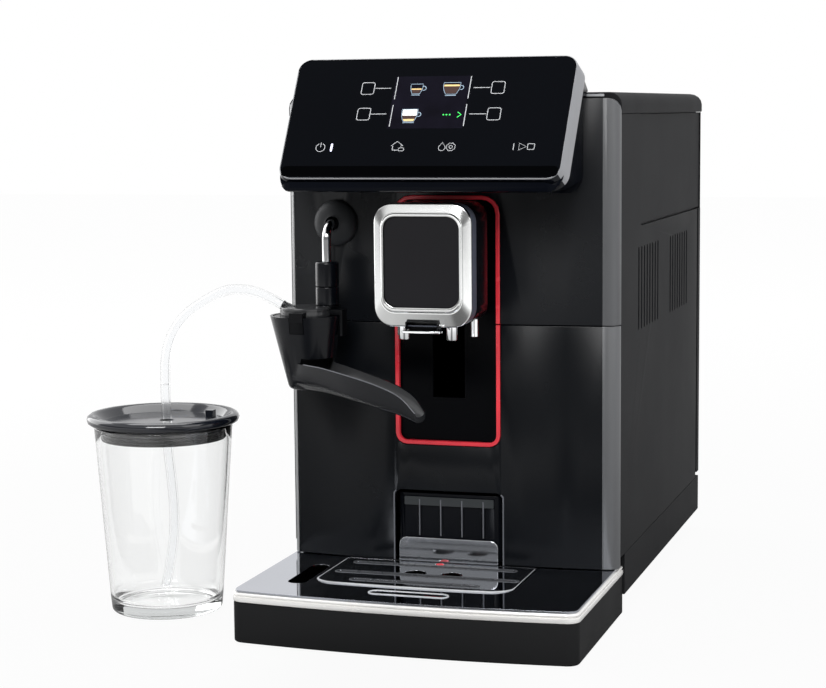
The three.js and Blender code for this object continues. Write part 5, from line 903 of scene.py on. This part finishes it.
def make_steam_pipe():
    """The pipe, bent down from its pivot, and the ball that it turns on."""
    bend = arc(PIPE_Y + 10, PIVOT[2] - 10, 10, 90, 180, 12)
    line = [(PIVOT[0], y, z) for y, z in [(98.6, PIVOT[2]), *bend, (PIPE_Y, 186.2)]]
    dress(pipe("steam_pipe", line, PIPE_RADIUS, sides=40), CHROME, "wand", "steam_tube")
    ball = [(0.02, 99.3), *arc(0, PIVOT[1], BALL_RADIUS, -81, 81, 18), (0.02, 107.7)]
    dress(turned_to_front("pipe_ball", ball, closed=False), SATIN, "wand", "steam_tube")


def sleeve(name, node, low, high, shoulder):
    """A sleeve on the pipe, with a round shoulder at its top."""
    wide = SLEEVE_RADIUS
    profile = [(3.2, low), (wide - 0.4, low), (wide, low + 0.4), (wide, high - shoulder - 0.2)]
    profile += [(wide - shoulder + shoulder * cos(a), high - shoulder + shoulder * sin(a))
                for a in (radians(turn) for turn in (20, 45, 70, 90))]
    profile += [(3.2, high)]
    dress(lathe(name, profile, (PIVOT[0], PIPE_Y), 56, BROAD, closed=True), MILKER, "wand", node)


make_dome()
make_steam_pipe()
sleeve("pipe_sleeve_upper", "sleeve_upper", 213.6, 229.5, 1.5)
sleeve("pipe_sleeve_lower", "sleeve_lower", 201.6, 213.3, 0.5)


def cup_skin(name, inset, lift, above=0):
    """The cup's outside, or its room where inset and lift thin it. Above carries it on upward."""
    rings = []
    for share in (0, 0.012, 0.03, FOOT_ROUND, 0.3, 0.65, 1):
        foot = max(0, 1 - share / FOOT_ROUND)
        round_off = 2 * (1 - sqrt(1 - foot ** 2))
        radius = CUP_FOOT + (CUP_TOP - CUP_FOOT) * share - round_off - inset
        x, y = CUP[0] + 3.5 * (1 - share), CUP[1] - 2 * (1 - share)
        z = RIM - CUP_DEPTH + lift + share * (CUP_DEPTH - lift)
        rings.append(level(circle(x, y, radius, CUP_SIDES), z))
    if above:
        rings.append(level(circle(*CUP, CUP_TOP - inset, CUP_SIDES), RIM + above))
    return skin(name, rings, BROAD)


def arm_places():
    """The arm's middle line: place with the rim's height, and floor with half the width."""
    # Shares of the way across, to the front, of the rim's fall, the floor's fall and the taper.
    shares = [(0, 0, 0, 0, 0), (0.135, 0.227, 0.118, 0, 0.284), (0.292, 0.443, 0.235, 0.02, 0.511),
              (0.517, 0.701, 0.4, 0.2, 0.659), (0.742, 0.866, 0.608, 0.484, 0.727),
              (0.899, 0.948, 0.804, 0.742, 0.841), (1, 1, 1, 1, 1)]
    raised = [0, 1.6, 3.8, 5.2, 6.0, 5.0, 1.0]
    places = [
        Vector((CUP[0] + 1.5 + ARM_REACH * a, CUP[1] - 1 - ARM_FORWARD * b, 168 - 25.5 * c + up))
        for (a, b, c, d, e), up in zip(shares, raised)]
    lows = [Vector((150 - 12.4 * d, 15 - 8.8 * e, 0)) for a, b, c, d, e in shares]
    line, widths = smooth_path(places, 5), smooth_path(lows, 5)
    stations = []
    for i, (place, low) in enumerate(zip(line, widths)):
        along = (line[min(i + 1, len(line) - 1)] - line[max(i - 1, 0)]).to_2d().normalized()
        stations.append((place.x, place.y, place.z, low.x, low.y, along))
    return stations


def across_arm(station, profile):
    """A profile of side and height, set square to the arm at one station."""
    x, y, along = station[0], station[1], station[-1]
    return [(x + side * along.y, y - side * along.x, z) for side, z in profile]


def arm_outside(name):
    rings = []
    for station in arm_places():
        rim, floor, half = station[2:5]
        bend = half * 0.62
        low = arc(half - bend, floor + bend, bend, 0, -90, 6)
        profile = [(-half, rim)] + [(-s, z) for s, z in low] + low[::-1] + [(half, rim)]
        rings.append(across_arm(station, profile))
    return skin(name, rings, BROAD)


def arm_channel(name):
    """The open channel along the arm: a dish with sloping flanks that runs out at its tip."""
    stations = arm_places()
    x, y, rim, floor, half, along = stations[-1]
    stations.append((x + along.x * 6, y + along.y * 6, rim - 2, floor - 2, half, along))
    rings = []
    for station in stations:
        rim, floor, half = station[2:5]
        reach, bottom, brim = half - 1.3, floor + 2.0 + (rim - floor) * 0.22, rim - 0.2
        turns = [radians(180 - 15 * k) for k in range(13)]
        dish = [(reach * cos(a), brim - (brim - bottom) * sin(a) ** 0.8) for a in turns]
        rings.append(across_arm(station, [(-reach, rim + 3.2), *dish, (reach, rim + 3.2)]))
    return skin(name, rings, BROAD)


def make_frother_cup():
    """Cup and arm in one, cut out by their rooms. The cut faces keep the channel's lighter grey,
    which is painted light.
    """
    bowl = combine(cup_skin("frother_bowl", 0, 0), arm_outside("arm"), "UNION")
    room = combine(cup_skin("room", CUP_WALL, CUP_WALL, 6), arm_channel("arm_room"), "UNION")
    for part, index in ((bowl, 0), (room, 1)):
        part.data.materials.append(MILKER)
        part.data.materials.append(CHANNEL_LIT)
        for face in part.data.polygons:
            face.material_index = index
    combine(bowl, room, "DIFFERENCE")
    left, right = CUP[0] - 3.3, CUP[0] + 6.3
    way = [(left, 49), (right, 49), (right, 66.7), (left, 66.7)]
    combine(bowl, skin("tab_way", [level(way, z) for z in (185.7, 200)]), "DIFFERENCE")
    soften(bowl, 0.45, 2, 50)
    inside = [face.material_index for face in bowl.data.polygons]
    dress(bowl, MILKER, "wand", "frother_cup")
    bowl.data.materials.append(CHANNEL_LIT)
    for face, index in zip(bowl.data.polygons, inside):
        face.material_index = index


# A pale line along the arm's rim near its tip: a painted highlight.
def make_arm_rim():
    line = [across_arm(station, [(station[4] - 0.6, station[2] + 0.12)])[0]
            for station in arm_places()[5:]]
    dress(pipe("arm_rim", line, 0.42, sides=12), FINE_HIGHLIGHT, "wand")


def make_frother_cap():
    """The cup's lid, with a paler disc round the pipe."""
    cap = carried("frother_lid", "frother_cap", CAP_BLACK, "wand", 0.35)
    cap.data.materials.append(DISC)
    for face in cap.data.polygons:
        spot = (face.center - at(0, 0, 0)) * 1000
        near = hypot(spot.x - CUP[0], spot.y - CUP[1]) < 16.5 and spot.z > RIM + 0.1
        if near and hypot(spot.x - PIVOT[0], spot.y - PIPE_Y) > 7.8 and spot.x > -98.5:
            face.material_index = 1


make_frother_cup()
make_arm_rim()
make_frother_cap()
tip = upright([(-101.5, 201.95), (-98.8, 200.6), (-95.2, 198.9)], HOSE_Y)
dress(pipe("hose_tip", tip, 3.1, sides=20), HOSE_CLEAR, "wand")


# ---------------- spout
def make_spout_ring():
    """The bright ring: a wide bevel, a small step and a lip round the face, a notch below."""
    face, outer = (24.2, 204.7, 260.6, 8.0), (31.0, 192.7, 268.4, 12.0)
    steps = [
        (1, 54.5), (1, 53.6), (0.985, 53.25), (0.95, 52.95), (0.91, 52.76), (0.89, 52.68),
        (0.35, 50.64), (0.33, 50.56), (0.29, 50.45), (0.25, 50.5), (0.22, 49.95), (0.17, 49.6),
        (0.05, 49.6), (0.0, 49.8), (0.0, 54.5)]
    rings = []
    # The bevel is shallower along its top, where it mirrors the sky.
    tops = [min(1, max(0, (z - 257) / 8)) for x, depth, z in front_ring(*outer, 0)]
    for share, depth in steps:
        row = front_ring(*[f + (o - f) * share for f, o in zip(face, outer)], depth)
        flat = max(0, min(depth, 52.8) - 50.6) * 0.55 if share < 0.96 else 0
        rings.append([(x, deep - flat * top, z) for (x, deep, z), top in zip(row, tops)])
    ring = hollow("spout_bezel", rings, FINE)
    way = skin("way", [front_ring(10.7, 180.0, 196.5, 1.6, depth, 5) for depth in (40.0, 60.0)])
    combine(ring, way, "DIFFERENCE")
    dress(ring, SATIN_CHROME, "spout", "spout_ring")


def make_spout_shell():
    """The body with the pocket of its lip, and the shoulder behind the ring, whose paler blue-grey
    is a painted reflection.
    """
    shell = carried("spout_body", "spout_shell", SPOUT_BLACK, "spout", 0.5, 3)
    pocket = [front_ring(9.9, 180.0, 195.9, 1.6, depth, 5) for depth in (40.0, 59.5)]
    combine(shell, skin("pocket", pocket), "DIFFERENCE")
    dress(hollow("spout_shoulder_sheen", [front_ring(*row) for row in (
        (30.72, 192.95, 268.15, 11.8, 54.75), (30.98, 192.75, 268.35, 11.95, 55.0),
        (30.98, 192.75, 268.35, 11.95, 64.6), (30.72, 192.95, 268.15, 11.8, 65.0),
        (30.0, 193.6, 267.5, 11.2, 65.0), (30.0, 193.6, 267.5, 11.2, 54.75))], FINE),
        SHOULDER_SHEEN, "spout")


def make_outlets(name, across, depth, sides, profile, node=None):
    """A bright tube on each side of the spout's middle."""
    for hand, side in (("left", -1), ("right", 1)):
        tube = lathe(
            f"{name}_{hand}", profile, (side * across, depth), sides, FINE, closed=True)
        dress(tube, CHROME, "spout", *([f"{node}_{hand}"] if node else []))


make_spout_ring()
make_spout_shell()
make_outlets("milk_outlet", 24.0, 85.0, 32, [
    (1.2, 183.9), (2.0, 183.9), (2.3, 184.2), (2.34, 195.0), (1.2, 195.0)])
carried("spout_plate", "spout_face", FACE, "spout", 0.4)
carried("spout_lip", "spout_latch", CHROME, "spout", 0.3)
make_outlets("coffee_nozzle", 15.3, 64.0, 48, [
    (1.9, 183.8), (2.9, 183.8), (3.25, 183.95), (3.4, 184.4), (3.4, 192.5), (1.9, 192.5)],
    "spout_nozzle")


# ---------------- milk glass
GLASS_CENTRE = (-185.2, 76.9)
GLASS_LOW, GLASS_TOP, GLASS_HIGH, GLASS_WALL, GLASS_FLOOR = 36.2, 45.0, 122.6, 2.2, 6.8


def glass_profile():
    """Outside from the foot's middle up to the rim, then the inside down to the floor's middle."""
    def wall(z):
        return GLASS_LOW + (GLASS_TOP - GLASS_LOW) * z / GLASS_HIGH

    outside = [(0, 1.6), (26, 1.4), (31.5, 0.9)] + arc(wall(0) - 2.6, 2.6, 2.6, -100, -4, 7)
    outside += [(wall(z), z) for z in (8, 30, 60, 90, 112)]
    rim = arc(GLASS_TOP - GLASS_WALL / 2, GLASS_HIGH - GLASS_WALL / 2, GLASS_WALL / 2, 0, 180, 8)
    inside = [(wall(z) - GLASS_WALL, z) for z in (112, 90, 60, 30, 15)]
    foot = arc(wall(12) - GLASS_WALL - 5, GLASS_FLOOR + 5, 5, 0, -90, 6)
    return outside + rim + inside + foot + [(18, GLASS_FLOOR + 0.15), (0, GLASS_FLOOR + 0.1)]


dress(lathe("glass_beaker", glass_profile(), GLASS_CENTRE, 96, 50),
      CLEAR, "glass", "milk_glass")
dress(lathe("lid_seal", [
    (39.0, 114.2), (41.2, 114.2), (41.6, 114.9), (41.0, 115.8), (41.7, 116.8), (41.0, 117.8),
    (41.7, 118.8), (41.0, 119.8), (41.8, 120.8), (41.8, 121.6), (39.0, 121.6)],
    GLASS_CENTRE, 96, FINE, closed=True), RUBBER, "glass_cover")
carried("glass_lid", "glass_cover_disc", LID_BLACK, "glass_cover", 0.3)


# ---------------- floor, lamps and world
WHITE = (1, 1, 1, 1)
FLOOR_REACH, FLOOR_DROP, FLOOR_GLOW = 6, 0.0002, 0.95
# Where the floor's painted dark lane lies.
LANE_TURN, LANE_INNER, LANE_OUTER = radians(14), radians(8), radians(22)


def seen_by_eye(tree):
    """One for what the camera sees, straight or through glass."""
    path = add(tree, "LightPath")
    return math_of(
        tree, "MAXIMUM", path.outputs["Is Camera Ray"], path.outputs["Is Transmission Ray"])


def make_floor():
    """White to the eye. What mirrors it sees a painted tone that grows outward, and one painted
    darker lane that gives bright metal a dark reflection.
    """
    material, tree, shader = nodes_of("floor")
    place = add(tree, "TexCoord").outputs["Object"]
    away = add(tree, "VectorMath", {0: place}, operation="LENGTH").outputs["Value"]
    parts = add(tree, "SeparateXYZ", {"Vector": place})
    front = math_of(tree, "MULTIPLY", parts.outputs["Y"], -1)
    turn = math_of(tree, "ARCTAN2", parts.outputs["X"], front)
    beside = math_of(tree, "ABSOLUTE", math_of(tree, "SUBTRACT", turn, LANE_TURN))
    # Painted reflection and shade: a tone darker near the machine, and a dark lane for bright metal
    # to mirror.
    painted_far_tone = spread(tree, away, 0.34, 0.92, 0.45, 1.9)
    painted_dark_lane = spread(tree, beside, 0.22, 1, LANE_INNER, LANE_OUTER)
    tree.links.new(math_of(tree, "MULTIPLY", painted_far_tone, painted_dark_lane), shader.inputs["Base Color"])
    shader.inputs["Roughness"].default_value = 0.9
    shader.inputs["Specular IOR Level"].default_value = 0.1
    glow = add(tree, "Emission", {"Color": WHITE})
    mix = add(tree, "MixShader", {
        "Fac": math_of(tree, "MULTIPLY", seen_by_eye(tree), FLOOR_GLOW),
        1: shader.outputs["BSDF"], 2: glow.outputs["Emission"]})
    tree.links.new(mix.outputs["Shader"], tree.nodes["Material Output"].inputs["Surface"])
    mesh = bpy.data.meshes.new("floor")
    square = ((-1, -1), (1, -1), (1, 1), (-1, 1))
    corners = [(x * FLOOR_REACH, y * FLOOR_REACH, 0) for x, y in square]
    mesh.from_pydata(corners, [], [range(4)])
    floor = new_object("floor", mesh)
    floor.location.z = -FLOOR_DROP
    mesh.materials.append(material)


def make_world():
    """White to the eye. As light it is a soft studio whose level goes by height, pale behind."""
    world = bpy.data.worlds.new("world")
    bpy.context.scene.world = world
    world.use_nodes = True
    tree = world.node_tree
    tree.nodes.clear()
    place = add(tree, "TexCoord").outputs["Generated"]
    parts = add(tree, "SeparateXYZ", {"Vector": place})
    above = add(tree, "ValToRGB", {"Fac": parts.outputs["Z"]})
    stops = above.color_ramp.elements
    stops.remove(stops[0])
    levels = (
        (0.0, 0.3), (0.12, 0.16), (0.22, 0.25), (0.34, 0.95), (0.785, 0.95), (0.81, 0.4),
        (1.0, 0.5))
    for index, (position, value) in enumerate(levels):
        stop = stops.new(position) if index else stops[0]
        stop.position = position
        stop.color = (value, value, value, 1)
    back = spread(tree, parts.outputs["Y"], 0, 1, -0.45, 0.25)
    tone = add(tree, "MixRGB", {
        "Fac": back, "Color1": above.outputs["Color"], "Color2": (0.95, 0.95, 0.96, 1)})
    soft = add(tree, "Background", {"Color": tone.outputs["Color"], "Strength": 0.9})
    white = add(tree, "Background", {"Color": WHITE})
    mix = add(tree, "MixShader", {
        "Fac": seen_by_eye(tree), 1: soft.outputs["Background"], 2: white.outputs["Background"]})
    output = add(tree, "OutputWorld")
    tree.links.new(mix.outputs["Shader"], output.inputs["Surface"])


def lamp(name, place, aim, size, energy):
    data = bpy.data.lights.new(name, "AREA")
    data.shape = "RECTANGLE"
    data.size, data.size_y = size
    data.energy = energy
    light = bpy.data.objects.new(name, data)
    bpy.context.scene.collection.objects.link(light)
    light.location = place
    light.rotation_euler = (Vector(aim) - Vector(place)).to_track_quat("-Z", "Y").to_euler()


make_floor()
make_world()
lamp("lamp_over", (0.0, 0.35, 2.2), (0, 0, 0.1), (2.4, 1.6), 34)
lamp("lamp_left", (-1.15, 0.3, 0.62), (0, 0, 0.22), (1.1, 1.15), 9)
lamp("lamp_front", (0.35, -2.3, 1.55), (0, 0, 0.15), (1.2, 1.0), 34)
lamp("lamp_right", (2.0, -0.9, 1.1), (0, 0, 0.18), (1.2, 1.4), 6)

scene = bpy.context.scene
scene.view_settings.view_transform = "Standard"
